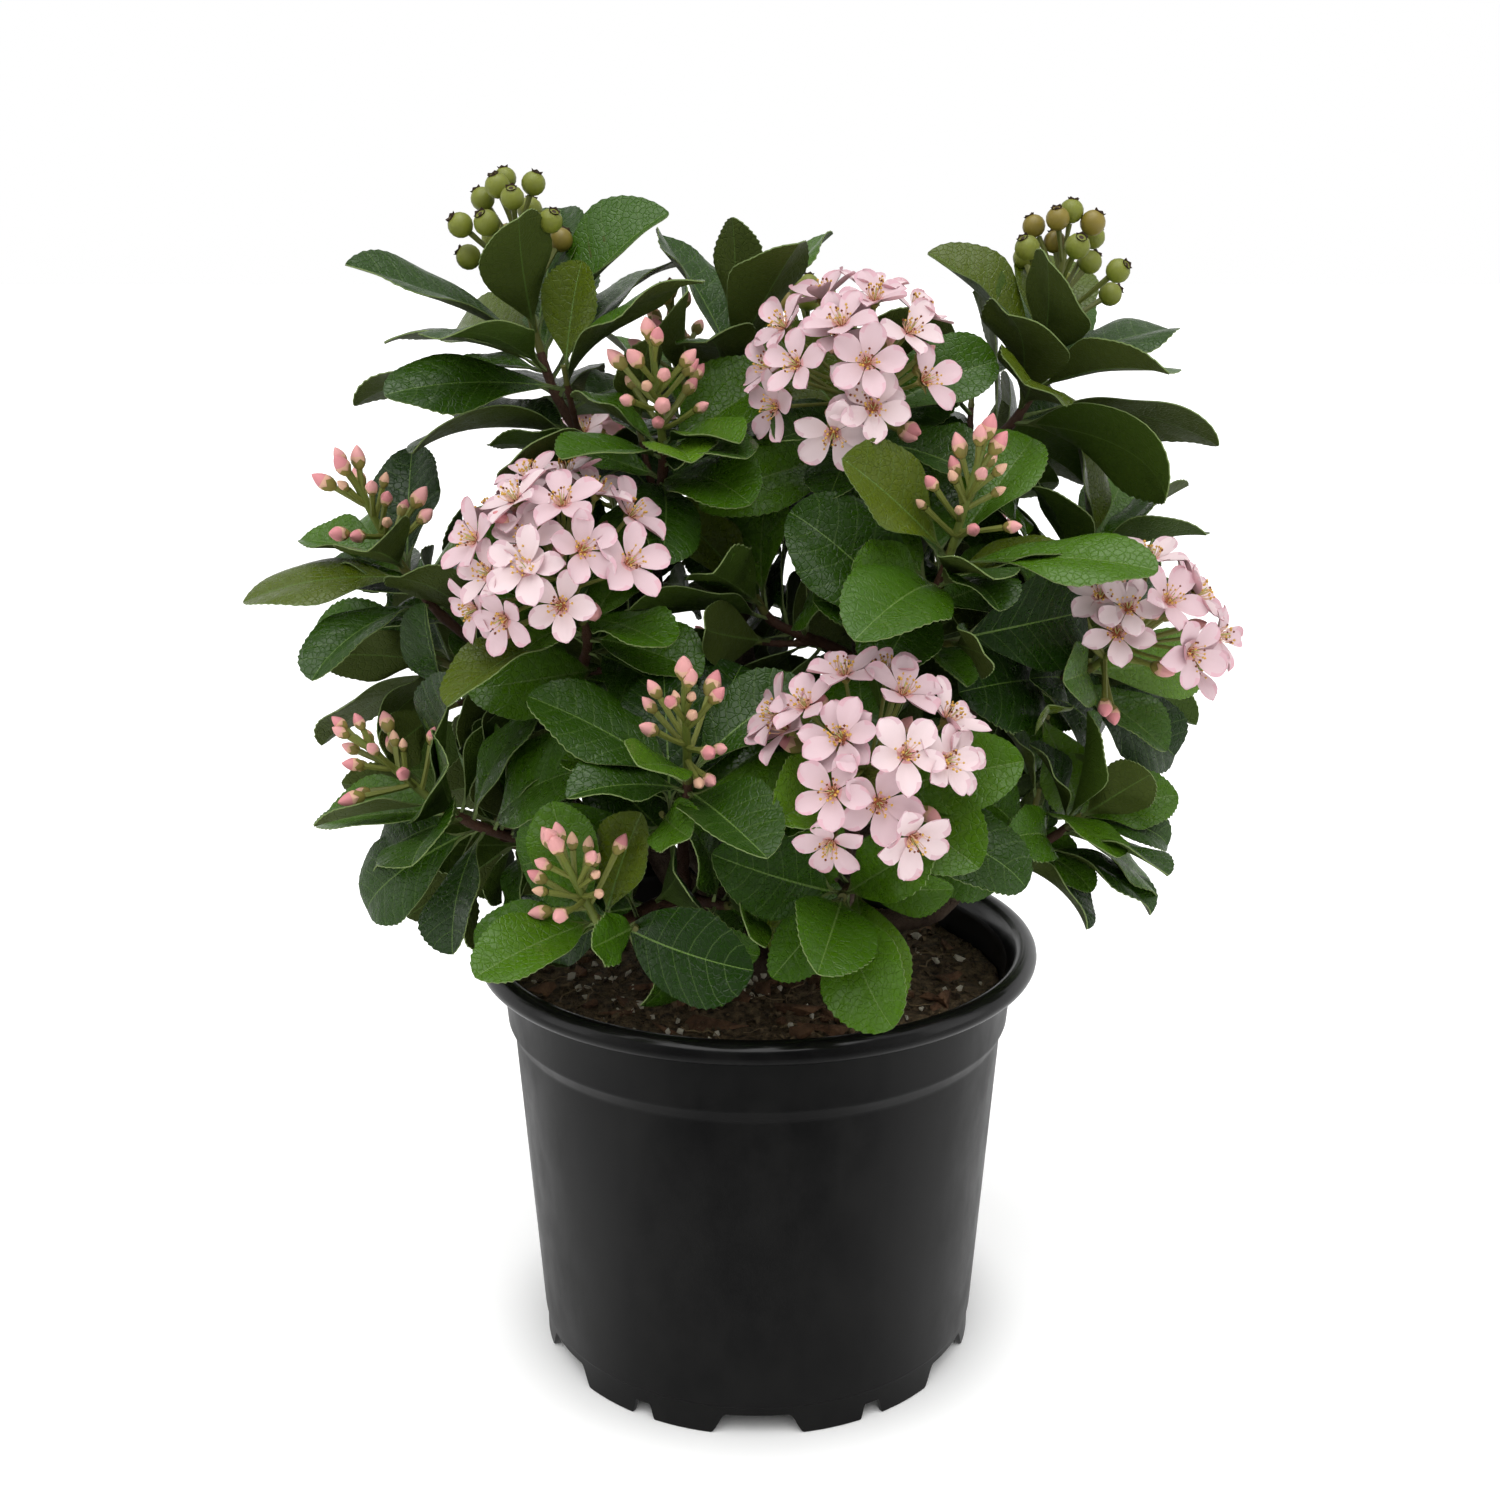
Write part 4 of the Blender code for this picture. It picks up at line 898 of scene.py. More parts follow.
class Sheets:
    """Grids of points gathered into one mesh, with a finish for each face."""

    def __init__(self):
        self.points, self.finishes, self.count = [], [], 0
        self.faces, self.marks = {4: [], 3: []}, {4: [], 3: []}

    def mark(self, finish):
        """The finish's number in the mesh."""
        if finish not in self.finishes:
            self.finishes.append(finish)
        return self.finishes.index(finish)

    def add(self, points, faces, finish):
        """Faces with three or four corners. finish is a name, or names by row and column of faces."""
        faces = np.asarray(faces)
        sides = faces.shape[-1]
        if isinstance(finish, str):
            marks = np.full(faces.shape[:-1], self.mark(finish))
        else:
            marks = np.array([[self.mark(name) for name in row] for row in finish])
        points = np.asarray(points, float).reshape(-1, 3)
        self.faces[sides].append(faces.reshape(-1, sides) + self.count)
        self.marks[sides].append(marks.ravel())
        self.points.append(points)
        self.count += len(points)

    def grid(self, points, finish, wrap=False, flip=False):
        """Quads over rows and columns of points."""
        rows, columns = points.shape[:2]
        ids = np.arange(rows * columns).reshape(rows, columns)
        near, beside = (ids, np.roll(ids, -1, axis=1)) if wrap else (ids[:, :-1], ids[:, 1:])
        corners = [near[:-1], beside[:-1], beside[1:], near[1:]]
        self.add(points, np.stack(corners[::-1] if flip else corners, axis=-1), finish)

    def fan(self, ring, finish, centre=None, flip=False):
        """Triangles from a closed ring of points to one point, or to its own middle."""
        count = len(ring)
        ids = np.arange(count)
        corners = [ids, (ids + 1) % count, np.full(count, count)]
        points = np.vstack([ring, ring.mean(axis=0) if centre is None else centre])
        self.add(points, np.stack(corners[::-1] if flip else corners, axis=-1), finish)

    def tube(self, path, radii, sides, finish, caps=True):
        """A tube along a path, without twists. finish may be a list with a name for each length."""
        rings = rings_along(path, radii, sides)
        names = [finish] * (len(rings) - 1) if isinstance(finish, str) else finish
        self.grid(rings, [[name] * sides for name in names], wrap=True)
        if caps:
            self.fan(rings[0], names[0], path[0], flip=True)
            self.fan(rings[-1], names[-1], path[-1])

    def build(self, name, smooth=True, sharp=None):
        """The mesh as an object. sharp is the angle in degrees past which its edges stay hard."""
        faces = self.faces[4] + self.faces[3]
        sides = np.concatenate([np.full(len(some), some.shape[1]) for some in faces])
        corners = np.concatenate([some.ravel() for some in faces])
        marks = np.concatenate(self.marks[4] + self.marks[3])
        mesh = bpy.data.meshes.new(name)
        mesh.vertices.add(self.count)
        mesh.loops.add(len(corners))
        mesh.polygons.add(len(sides))
        mesh.vertices.foreach_set("co", np.concatenate(self.points).astype(np.float32).ravel())
        mesh.loops.foreach_set("vertex_index", corners.astype(np.int32))
        mesh.polygons.foreach_set("loop_start", (np.cumsum(sides) - sides).astype(np.int32))
        mesh.polygons.foreach_set("material_index", marks.astype(np.int32))
        mesh.update(calc_edges=True)
        mesh.validate()
        mesh.polygons.foreach_set("use_smooth", np.full(len(mesh.polygons), smooth))
        if sharp:
            mesh.set_sharp_from_angle(angle=radians(sharp))
        for finish in self.finishes:
            mesh.materials.append(material(finish))
        return add_object(name, mesh)


def add_object(name, data):
    """An object in the scene, with its mesh, light or camera."""
    made = bpy.data.objects.new(name, data)
    bpy.context.scene.collection.objects.link(made)
    return made


def unit(vectors):
    """Vectors of length one, along the last axis."""
    return vectors / np.maximum(np.linalg.norm(vectors, axis=-1, keepdims=True), 1e-12)


def rings_along(path, radii, sides):
    """Rings of points round a path, carried along it without twist."""
    path = np.array(path, float)
    runs = unit(np.gradient(path, axis=0))
    helper = np.array([0.0, 0.0, 1.0]) if abs(runs[0][2]) < 0.9 else np.array([1.0, 0.0, 0.0])
    first = unit(np.cross(runs[0], helper))
    turns = np.arange(sides) * tau / sides
    rings = []
    for point, run, radius in zip(path, runs, radii):
        first = unit(first - run * np.dot(first, run))
        second = np.cross(run, first)
        round_it = np.cos(turns)[:, None] * first + np.sin(turns)[:, None] * second
        rings.append(point + round_it * radius)
    return np.array(rings)


def smooth_path(points, count):
    """A smooth line of count + 1 points through the given ones."""
    points = [Vector(point) for point in points]
    ends = [points[0] * 2 - points[1], *points, points[-1] * 2 - points[-2]]
    lengths = [0.0]
    for a, b in zip(points, points[1:]):
        lengths.append(lengths[-1] + (b - a).length)
    made = []
    for step in range(count + 1):
        target = lengths[-1] * step / count
        i = next(k for k in range(len(points) - 1) if lengths[k + 1] >= target or k == len(points) - 2)
        t = (target - lengths[i]) / (lengths[i + 1] - lengths[i])
        a, b, c, d = ends[i : i + 4]
        square, cube = a * 2 - b * 5 + c * 4 - d, b * 3 - a - c * 3 + d
        made.append((b * 2 + (c - a) * t + square * t**2 + cube * t**3) / 2)
    return made


def spread(values, count):
    """count + 1 values, spaced evenly along the given ones."""
    return np.interp(np.linspace(0, len(values) - 1, count + 1), np.arange(len(values)), values)


def frame_of(axis, spin=0.0):
    """Two directions square to the axis, turned by spin, and the axis, as rows of a matrix."""
    first, second = across(Vector(axis))
    turned = first * cos(spin) + second * sin(spin)
    return np.array([turned, Vector(axis).cross(turned), axis], float)


def spun_grid(profile, sides, ridge=0.0, ridges=5, twist=0.0):
    """Rings of points round +Z from (height, radius), with low ridges that may wind round it."""
    rings = []
    turns = np.arange(sides) * tau / sides
    top = profile[-1][0] or 1.0
    for height, radius in profile:
        wave = 1 + ridge * np.cos(ridges * turns + twist * height / top)
        reach = radius * wave
        points = [np.cos(turns) * reach, np.sin(turns) * reach, np.full(sides, height)]
        rings.append(np.stack(points, axis=-1))
    return np.array(rings)


def placer(axis, origin, spin=0.0):
    """A function that moves local points to the origin, with +Z turned to the axis."""
    matrix = frame_of(axis, spin)
    return lambda points: np.asarray(points) @ matrix + np.array(origin, float)


# The leaf


LEAF_PETIOLE_END = 0.09
LEAF_THICKNESS = 0.34 * MM
PETIOLE_RADIUS = 0.62 * MM
LEAF_FULLNESS = 1.05
VEIN_WIDTH = 0.0036  # of the leaf's length
VEIN_SWEEP = 0.17
RIB = 0.31 * MM  # half of the midrib's width at the foot
PUCKER = 0.34 * MM


def leaf_rows():
    """Shares of the length where the leaf's rows of points cross the midrib, and each row's kind."""
    rows = [(0.0, "foot"), (0.05, "foot"), (LEAF_PETIOLE_END, "foot"), (0.13, "blade")]
    for vein in range(LEAF_VEINS):
        share = mix(0.17, 0.83, vein / (LEAF_VEINS - 1))
        rows += [(share - VEIN_WIDTH, "vein"), (share + VEIN_WIDTH, "vein end")]
        if vein < LEAF_VEINS - 1:
            rows += [(share + 0.03, "dip"), (share + 0.055, "middle"), (share + 0.081, "dip")]
    end = [(0.875, "dip"), (0.9, "middle"), (0.93, "dip"), (0.955, "blade"), (0.985, "blade"), (1.0, "tip")]
    return rows + end


LEAF_ROWS = leaf_rows()
TEETH = {"vein": 0.8, "vein end": 1.0, "dip": -0.8, "middle": 0.9}
SWELL = {"dip": 0.7, "middle": 1.0}


def leaf_half_width(share, habit):
    """Half of the blade's width as a share of its greatest: a wedge at the foot and a round end."""
    along = np.clip((share - LEAF_PETIOLE_END) / (1 - LEAF_PETIOLE_END), 0, 1)
    wedge = np.sin(pi / 2 * np.clip(along / habit.widest, 0, 1)) ** habit.wedge
    beyond = np.clip((along - habit.widest) / (1 - habit.widest), 0, 1)
    return wedge * (1 - beyond**1.95) ** habit.point


def leaf_curve(arch, hook, shares):
    """How far along and down the midrib has run at each share of its length, and its turn. The hook bends
    the tip further."""
    fine = np.linspace(0, 1, 33)
    turns = arch * fine * (1 + hook * fine**4)
    middles = (turns[1:] + turns[:-1]) / 2
    along = np.concatenate([[0], np.cumsum(np.cos(middles))]) / (len(fine) - 1)
    drop = np.concatenate([[0], np.cumsum(np.sin(middles))]) / (len(fine) - 1)
    return [np.interp(shares, fine, values) for values in (along, drop, turns)]


def leaf_points(leaf, columns, habit, lower=0.0):
    """Points of one face of a leaf, by rows along it and columns across it."""
    rows = np.array([share for share, _ in LEAF_ROWS])[:, None]
    kinds = [kind for _, kind in LEAF_ROWS]
    widest = leaf.width / 2 * LEAF_FULLNESS
    ribs = {"rib": 1, "-rib": -1}
    side_share = np.tile([0.0 if column in ribs else column for column in columns], (len(rows), 1))
    across_share = np.abs(side_share)
    sweep = VEIN_SWEEP * np.sin(pi * np.clip(rows, 0, 1)) ** 0.8
    shares = np.clip(rows + sweep * across_share**1.25, 0, 1)
    half = np.maximum(leaf_half_width(shares, habit) * widest, 0)
    half = np.maximum(half, PETIOLE_RADIUS * 0.8 * (1 - shares) ** 0.3)
    half[-1] = 0.05 * MM
    at_edge = across_share > 0.99
    teeth = np.array([TEETH.get(kind, 0.0) for kind in kinds])[:, None]
    tooth = teeth * habit.teeth * np.clip((rows - 0.3) / 0.3, 0, 1)
    aside = side_share * half + np.sign(side_share) * at_edge * tooth
    for i, column in enumerate(columns):
        if column in ribs:
            aside[:, i] = np.minimum(RIB * (1.15 - rows[:, 0] * 0.85), half[:, i] * 0.6) * ribs[column]
    # lift of each point over the midrib's plane
    relative = np.clip(np.abs(aside) / max(widest, 1e-6), 0, 1)
    blade = np.clip((shares - LEAF_PETIOLE_END) / 0.15, 0, 1)
    lift = habit.fold * widest * relative**1.25 * blade
    lift = lift - habit.roll * widest * relative**4 * blade
    wave = np.sin(habit.waves * pi * 2 * shares + habit.phase + np.sign(side_share) * habit.skew)
    lift = lift + habit.ripple * wave * relative**2 * blade
    swell = np.array([SWELL.get(kind, 0.0) for kind in kinds])[:, None]
    lift = lift + PUCKER * swell * (1 - across_share) * np.minimum(across_share * 4, 1)
    groove = np.where(across_share < 0.01, 0.16 * MM, 0.0) * blade
    thick = np.where(shares < LEAF_PETIOLE_END, PETIOLE_RADIUS * 1.5, LEAF_THICKNESS)
    lift = lift - groove - lower * thick
    if lower:  # the midrib stands out below
        lift = lift - np.where(across_share < 0.01, 0.35 * MM, 0.0) * blade * (1 - shares * 0.7)
    along, drop, turn = leaf_curve(leaf.arch, habit.hook, shares)
    twist = habit.twist * shares
    side = np.array(leaf.heading.cross(leaf.up), float)
    head, up = np.array(leaf.heading, float), np.array(leaf.up, float)
    middle = np.array(leaf.root, float) + (head * along[..., None] - up * drop[..., None]) * leaf.length
    middle = middle + side * (habit.bend * shares**2 * leaf.length)[..., None]
    normal = head * np.sin(turn)[..., None] + up * np.cos(turn)[..., None]
    sideways = side * np.cos(twist)[..., None] + normal * np.sin(twist)[..., None]
    over = normal * np.cos(twist)[..., None] - side * np.sin(twist)[..., None]
    return middle + sideways * aside[..., None] + over * lift[..., None]


Habit = namedtuple("Habit", "widest wedge point teeth fold roll ripple waves phase skew hook twist bend")


def leaf_habit(rng, age):
    """How one leaf differs from the next."""
    return Habit(
        widest=rng.uniform(0.54, 0.66),
        wedge=rng.uniform(1.05, 1.5),
        point=rng.uniform(0.52, 0.72),
        teeth=rng.uniform(0.15, 0.34) * MM,
        fold=rng.uniform(0.12, 0.5) * (1.4 - 0.6 * age),
        roll=rng.uniform(0.02, 0.3),
        ripple=rng.uniform(0.5, 1.8) * MM,
        waves=rng.uniform(1.2, 2.3),
        phase=rng.uniform(0, 6.28),
        skew=rng.uniform(-1.2, 1.2),
        hook=rng.uniform(0.1, 0.9) * age,
        twist=rng.uniform(-0.45, 0.45),
        bend=rng.uniform(-0.05, 0.05),
    )


TOP_COLUMNS = (-1.0, -0.7, -0.36, "-rib", "rib", 0.36, 0.7, 1.0)
UNDER_COLUMNS = (-1.0, "-rib", "rib", 1.0)


def add_leaf(sheets, leaf, tone, underside, rng, age):
    """A leaf as a veined upper face, a plainer lower face and the thin rim between them."""
    habit = leaf_habit(rng, age)
    top = leaf_points(leaf, TOP_COLUMNS, habit)
    under = leaf_points(leaf, UNDER_COLUMNS, habit, lower=1.0)
    upper, lower = [], []
    for _, kind in LEAF_ROWS[:-1]:
        foot = kind == "foot"
        blade = "leaf_stalk" if foot else tone + "_vein" if kind == "vein" else tone
        upper.append([blade] * 3 + ["leaf_stalk" if foot else "midrib"] + [blade] * 3)
        lower.append(["leaf_stalk"] * 3 if foot else [underside, "midrib_under", underside])
    sheets.grid(top, upper)
    sheets.grid(under, lower, flip=True)
    for column, flip in ((0, True), (-1, False)):
        rim = np.stack([top[:, column], under[:, column]], axis=1)
        sheets.grid(rim, "leaf_edge", flip=flip)


# The flower


PETAL_ROWS = (0.0, 0.12, 0.27, 0.44, 0.6, 0.74, 0.86, 0.95, 1.0)
PETAL_COLUMNS = (-1.0, -0.66, -0.25, 0.25, 0.66, 1.0)
PETAL_THICKNESS = 0.16 * MM
PETAL_RIPPLE = 0.3 * MM
THROAT_RADIUS = 1.0 * MM
STAMENS = 16


Petal = namedtuple("Petal", "width fullness notch bowl curl cup phase")
PETAL_LIMITS = Petal((0.27, 0.335), (1.2, 1.5), (0.0, 0.06), (0.6, 2.0), (0.0, 0.16), (0.15, 0.55), (0, 6.28))


def petal_points(radius, petal, below=0.0):
    """Points of one face of a petal that lies along +X, by rows along it and columns across it."""
    rows = np.array(PETAL_ROWS)[:, None]
    columns = np.array(PETAL_COLUMNS)[None, :]
    reach = radius - THROAT_RADIUS
    widest = radius * petal.width
    half = widest * (0.14 * (1 - rows) + np.sin(pi * rows ** petal.fullness) ** 0.62)
    half = np.maximum(half, 0.0)
    half[-1] = widest * 0.12
    end = 1 - petal.notch * np.exp(-((columns / 0.35) ** 2)) * rows**8 - 0.05 * columns**2 * rows**6
    x = THROAT_RADIUS + reach * rows * end
    y = columns * half
    share = np.abs(columns) * np.ones_like(rows)
    z = radius * FLOWER_BOWL * petal.bowl * rows**1.3 - radius * petal.curl * rows**5
    z = z + petal.cup * half * share**2
    z = z + PETAL_RIPPLE * np.sin(petal.phase + 4 * rows + 5 * columns) * share * rows
    inner = np.where((share < 0.99) & (rows > 0) & (rows < 1), 1.0, 0.0)
    z = z - below * PETAL_THICKNESS * inner
    return np.stack([x * np.ones_like(y), y, z], axis=-1)


def add_flower(sheets, flower, rng):
    """Five petals, a ring of stamens, the throat and the calyx with its stalk."""
    put = placer(flower.axis, flower.centre, flower.spin)
    tint = rng.choice(("", "", "_pale"))
    middle, edge = "petal" + tint, "petal_edge" + tint
    rimmed = [edge, middle, middle, middle, edge]
    table = [["petal_throat"] * 5, *[[middle] * 5] * 3, *[rimmed] * 3, [edge] * 5]
    for number in range(5):
        if rng.random() < 0.015:
            continue
        petal = Petal(*[rng.uniform(*limits) for limits in PETAL_LIMITS])
        turn = radians(72 * number + rng.uniform(-5, 5))
        size = flower.radius * rng.uniform(0.95, 1.04)
        spin = np.array([[cos(turn), sin(turn), 0], [-sin(turn), cos(turn), 0], [0, 0, 1]])
        lift = np.array([0, 0, 0.08 * MM * (number % 2)])
        for below, finish, flip in ((0.0, table, True), (1.0, "petal_back", False)):
            points = (petal_points(size, petal, below) + lift) @ spin
            sheets.grid(put(points), finish, flip=flip)
    add_stamens(sheets, flower.radius, put, rng)
    cup = [(-2.6 * MM, 0.5 * MM), (-1.9 * MM, 1.1 * MM), (-0.9 * MM, 1.5 * MM), (0.1 * MM, 1.75 * MM)]
    rings = put(spun_grid(cup, 8))
    sheets.grid(rings, "calyx", wrap=True)
    dish = put(spun_grid([(0.35 * MM, 1.45 * MM), (0.05 * MM, 0.7 * MM)], 8))
    sheets.grid(dish, "throat", wrap=True)
    sheets.fan(dish[-1], "throat", flower.centre)
    foot = Vector(flower.centre) - Vector(flower.axis) * 2.5 * MM
    span = (foot - flower.root).length
    pull = [
        flower.root + (foot - flower.root).normalized() * span * 0.4,
        foot - Vector(flower.axis) * span * 0.3,
    ]
    line = bezier(flower.root, *pull, foot, 5)
    radii = spread([PEDICEL_RADIUS * 1.05, PEDICEL_RADIUS * 0.9, PEDICEL_RADIUS * 1.1], 5)
    sheets.tube(line, radii, 6, "pedicel", caps=False)
    for number in range(5):
        turn = radians(72 * number + 36)
        outer = np.array([cos(turn), sin(turn), 0])
        beside = np.array([-sin(turn), cos(turn), 0])
        base = outer * 1.5 * MM - np.array([0, 0, 0.5 * MM])
        tip = outer * 4.0 * MM - np.array([0, 0, 0.15 * MM])
        corners = [base + beside * 0.8 * MM, tip, base - beside * 0.8 * MM, base - np.array([0, 0, 0.3 * MM])]
        faces = [(0, 1, 2), (2, 1, 3), (3, 1, 0)]
        sheets.add(put(corners), faces, "calyx")


def add_stamens(sheets, radius, put, rng):
    """The stamens, with some ripe anthers, and the styles among them."""
    for number in range(STAMENS):
        turn = number * GOLDEN_ANGLE + rng.uniform(-0.2, 0.2)
        opening = radians(rng.uniform(8, 38))
        length = radius * rng.uniform(0.28, 0.44)
        out = np.array([cos(turn), sin(turn), 0.0])
        start = out * 0.9 * MM
        tip = start + out * sin(opening) * length + np.array([0, 0, cos(opening) * length])
        bend = start + (tip - start) * 0.5 + out * 0.4 * MM
        line = put([start, bend, tip])
        sheets.tube(line, [0.13 * MM, 0.11 * MM, 0.09 * MM], 3, "filament", caps=False)
        finish = "anther_dark" if rng.random() < 0.25 else "anther"
        size = rng.uniform(0.32, 0.44) * MM
        rings = spun_grid([(-size * 0.9, size * 0.3), (0, size), (size * 0.9, size * 0.3)], 5)
        points = placer(Vector(line[-1] - line[0]).normalized(), line[-1], turn)(rings)
        sheets.grid(points, finish, wrap=True)
        sheets.fan(points[-1], finish)
        sheets.fan(points[0], finish, flip=True)
    for number in range(3):
        turn = number * 2.1
        out = np.array([cos(turn), sin(turn), 0.0])
        line = put([out * 0.25 * MM, out * 0.7 * MM + np.array([0, 0, 3.2 * MM])])
        sheets.tube(line, [0.16 * MM, 0.14 * MM], 4, "style")


def curved_stalk(root, axis, length, droop):
    """A stalk's line, that leaves its stem steeper than it ends."""
    root = Vector(root)
    tip = root + axis * length
    return [root, root + axis * length * 0.35 + UP * -droop * length, tip]


LOBES = np.array([0.0, 1.0] * 5)  # the tips of a calyx, among its ten points


def add_bud(sheets, bud, rng):
    """A pointed bud of wound petals in its five-lobed calyx, on its stalk."""
    length, radius = BUD_LENGTH * bud.size * 1.12, BUD_RADIUS * bud.size
    put = placer(bud.axis, bud.root + bud.axis * bud.pedicel, rng.uniform(0, 6))
    line = smooth_path(curved_stalk(bud.root, bud.axis, bud.pedicel, rng.uniform(0.0, 0.06)), 4)
    radii = spread([PEDICEL_RADIUS * 1.5, PEDICEL_RADIUS * 1.3, PEDICEL_RADIUS * 1.6], 4)
    sheets.tube(line, radii, 6, "pedicel", caps=False)
    outline = ((0.1, 0.55), (0.26, 0.86), (0.4, 1.0), (0.55, 0.95), (0.7, 0.76), (0.84, 0.48), (0.94, 0.22))
    profile = [(length * share, radius * wide) for share, wide in outline]
    rings = put(spun_grid(profile, 10, 0.07, 5, 1.6))
    tone = "bud" if rng.random() < 0.6 else "bud_deep"
    green = bud.size < 0.7
    first, last = ("bud_green", "bud_pale") if green else ("bud_pale", tone)
    sheets.grid(rings, [[name] * 10 for name in (first, first, "bud_pale", last, last, last)], wrap=True)
    sheets.fan(rings[-1], last, put([0, 0, length]))
    cup = [(length * share, radius * wide) for share, wide in ((0.08, 0.66), (0.24, 0.92), (0.3, 0.99))]
    calyx = spun_grid([(-0.2 * MM, radius * 0.25), *cup], 10)
    calyx[-1][:, 2] += LOBES * length * 0.16
    calyx[-1][:, :2] *= 1.03
    sheets.grid(put(calyx), "calyx", wrap=True)


def add_berry(sheets, berry, rng):
    """A round young fruit, with the dry remains of the calyx as a crown round its tip."""
    radius = BERRY_RADIUS * rng.uniform(0.86, 1.0)
    put = placer(berry.axis, berry.root + berry.axis * berry.pedicel, rng.uniform(0, 6))
    line = smooth_path(curved_stalk(berry.root, berry.axis, berry.pedicel, rng.uniform(0.0, 0.05)), 5)
    radii = spread([PEDICEL_RADIUS * 1.3, PEDICEL_RADIUS * 1.05, PEDICEL_RADIUS * 1.6], 5)
    sheets.tube(line, radii, 6, "berry_stalk", caps=False)
    angles = np.radians([-86, -68, -48, -26, -4, 18, 38, 56, 70])
    profile = [(radius * (1 + sin(a) * 0.98), radius * cos(a)) for a in angles]
    profile += [(radius * 1.93, radius * 0.2)]
    rings = put(spun_grid(profile, 14))
    tone = rng.choice(("berry", "berry", "berry_ripe"))
    sheets.grid(rings, tone, wrap=True)
    sheets.fan(rings[-1], "crown", put([0, 0, radius * 1.9]))
    sheets.fan(rings[0], tone, put([0, 0, 0]), flip=True)
    crown = spun_grid([(radius * 1.84, radius * 0.4), (radius * 2.04, radius * 0.44)], 10)
    crown[-1][:, 2] += (LOBES - 0.5) * radius * 0.12
    crown[-1][:, :2] *= (1 + 0.18 * LOBES)[:, None]
    sheets.grid(put(crown), "crown", wrap=True)
    sheets.grid(put(crown * np.array([0.93, 0.93, 1.0])), "crown", wrap=True, flip=True)


# Wood


def bark_rings(path, radii, sides, relief, seed):
    """Rings round a limb, with the bark's ridges and pores raised on them."""
    rings = rings_along(path, radii, sides)
    centres = np.array(path, float)
    for row in range(len(rings)):
        for side in range(sides):
            point = Vector(rings[row][side])
            out = (point - Vector(centres[row])).normalized()
            ridge = noise.noise(Vector((point.x * 420, point.y * 420, point.z * 110 + seed)))
            pore = noise.noise(Vector((point.x * 1300, point.y * 1300, point.z * 1500 + seed)))
            lump = noise.noise(Vector((point.x * 120, point.y * 120, point.z * 90 + seed * 2)))
            depth = (1 - abs(ridge) * 2) * 0.5 + pore * 0.25 + lump * 0.6
            rings[row][side] = point + out * depth * relief
    return rings


def add_limb(sheets, path, radii, sides, relief, seed, finish):
    """A closed limb along a path, with the bark's ridges."""
    rings = bark_rings(path, radii, sides, relief, seed)
    sheets.grid(rings, finish, wrap=True)
    sheets.fan(rings[0], finish, flip=True)
    sheets.fan(rings[-1], finish)


def add_stem(sheets, path, radii, rng, woody):
    """A young stem with swollen joints where its leaves have been."""
    count = 22
    line = smooth_path(path, count)
    wide = spread(radii, count)
    knots = [rng.uniform(0.05, 0.95) for _ in range(5)]
    for i in range(count + 1):
        share = i / count
        wide[i] *= 1 + 0.22 * sum(exp(-(((share - knot) / 0.025) ** 2)) for knot in knots)
    names = ["young_bark" if i < count * woody else "green_stem" for i in range(count)]
    sheets.tube(line, wide, 8, names)


def shard(rng, size, corners):
    """A chip's points and triangles: the hull of a few points in a box."""
    work = bmesh.new()
    for _ in range(corners):
        work.verts.new([rng.uniform(-0.5, 0.5) * side for side in size])
    bmesh.ops.convex_hull(work, input=work.verts)
    for vertex in [one for one in work.verts if not one.link_faces]:
        work.verts.remove(vertex)
    bmesh.ops.triangulate(work, faces=work.faces)
    work.verts.index_update()
    points = np.array([list(vertex.co) for vertex in work.verts])
    faces = [[vertex.index for vertex in face.verts] for face in work.faces]
    work.free()
    return points, faces


def soil_height(x, y):
    """The top of the soil, low at the pot's wall and raised round the trunk, with its lumps."""
    reach = hypot(x, y)
    levels = [mix(SOIL_EDGE_HEIGHT, SOIL_MIDDLE_HEIGHT, share) for share in (1.0, 0.45, 0.0)]
    base = float(np.interp(reach, [14 * MM, 48 * MM, SOIL_RADIUS], levels))
    spot = Vector((x, y, 0.0))
    lumps = noise.noise(spot * 90) * 1.5 + noise.noise(spot * 260) * 0.9 + noise.noise(spot * 800) * 0.4
    return base + lumps * MM


# Settings


def colour(name, value):
    """A colour among the settings, named after what it colours."""
    limits = {"subtype": "COLOR", "size": 3, "min": 0, "max": 1}
    return FloatVectorProperty(name=name, description="Colour of the " + name.lower(), default=value, **limits)


class PotSettings(bpy.types.PropertyGroup):
    sides: IntProperty(name="Sides", description="Flat sides that make the pot round", default=192, min=32)
    plastic: colour("Plastic", (0.0035, 0.0035, 0.0037))
    dust: colour("Dust", (0.0075, 0.0073, 0.0070))
    soil: colour("Soil", (0.052, 0.034, 0.017))
    soil_dry: colour("Dry soil", (0.300, 0.215, 0.120))
    chip: colour("Bark chips", (0.330, 0.175, 0.092))
    perlite: colour("Perlite", (0.92, 0.86, 0.70))
    chips: IntProperty(name="Chips", description="Bark chips on the soil", default=85, min=0)
    crumbs: IntProperty(name="Crumbs", description="Crumbs of soil", default=1300, min=0)
    grains: IntProperty(name="Perlite grains", description="Grains of perlite", default=170, min=0)
    roots: IntProperty(name="Roots", description="Fine roots on the soil", default=60, min=0)


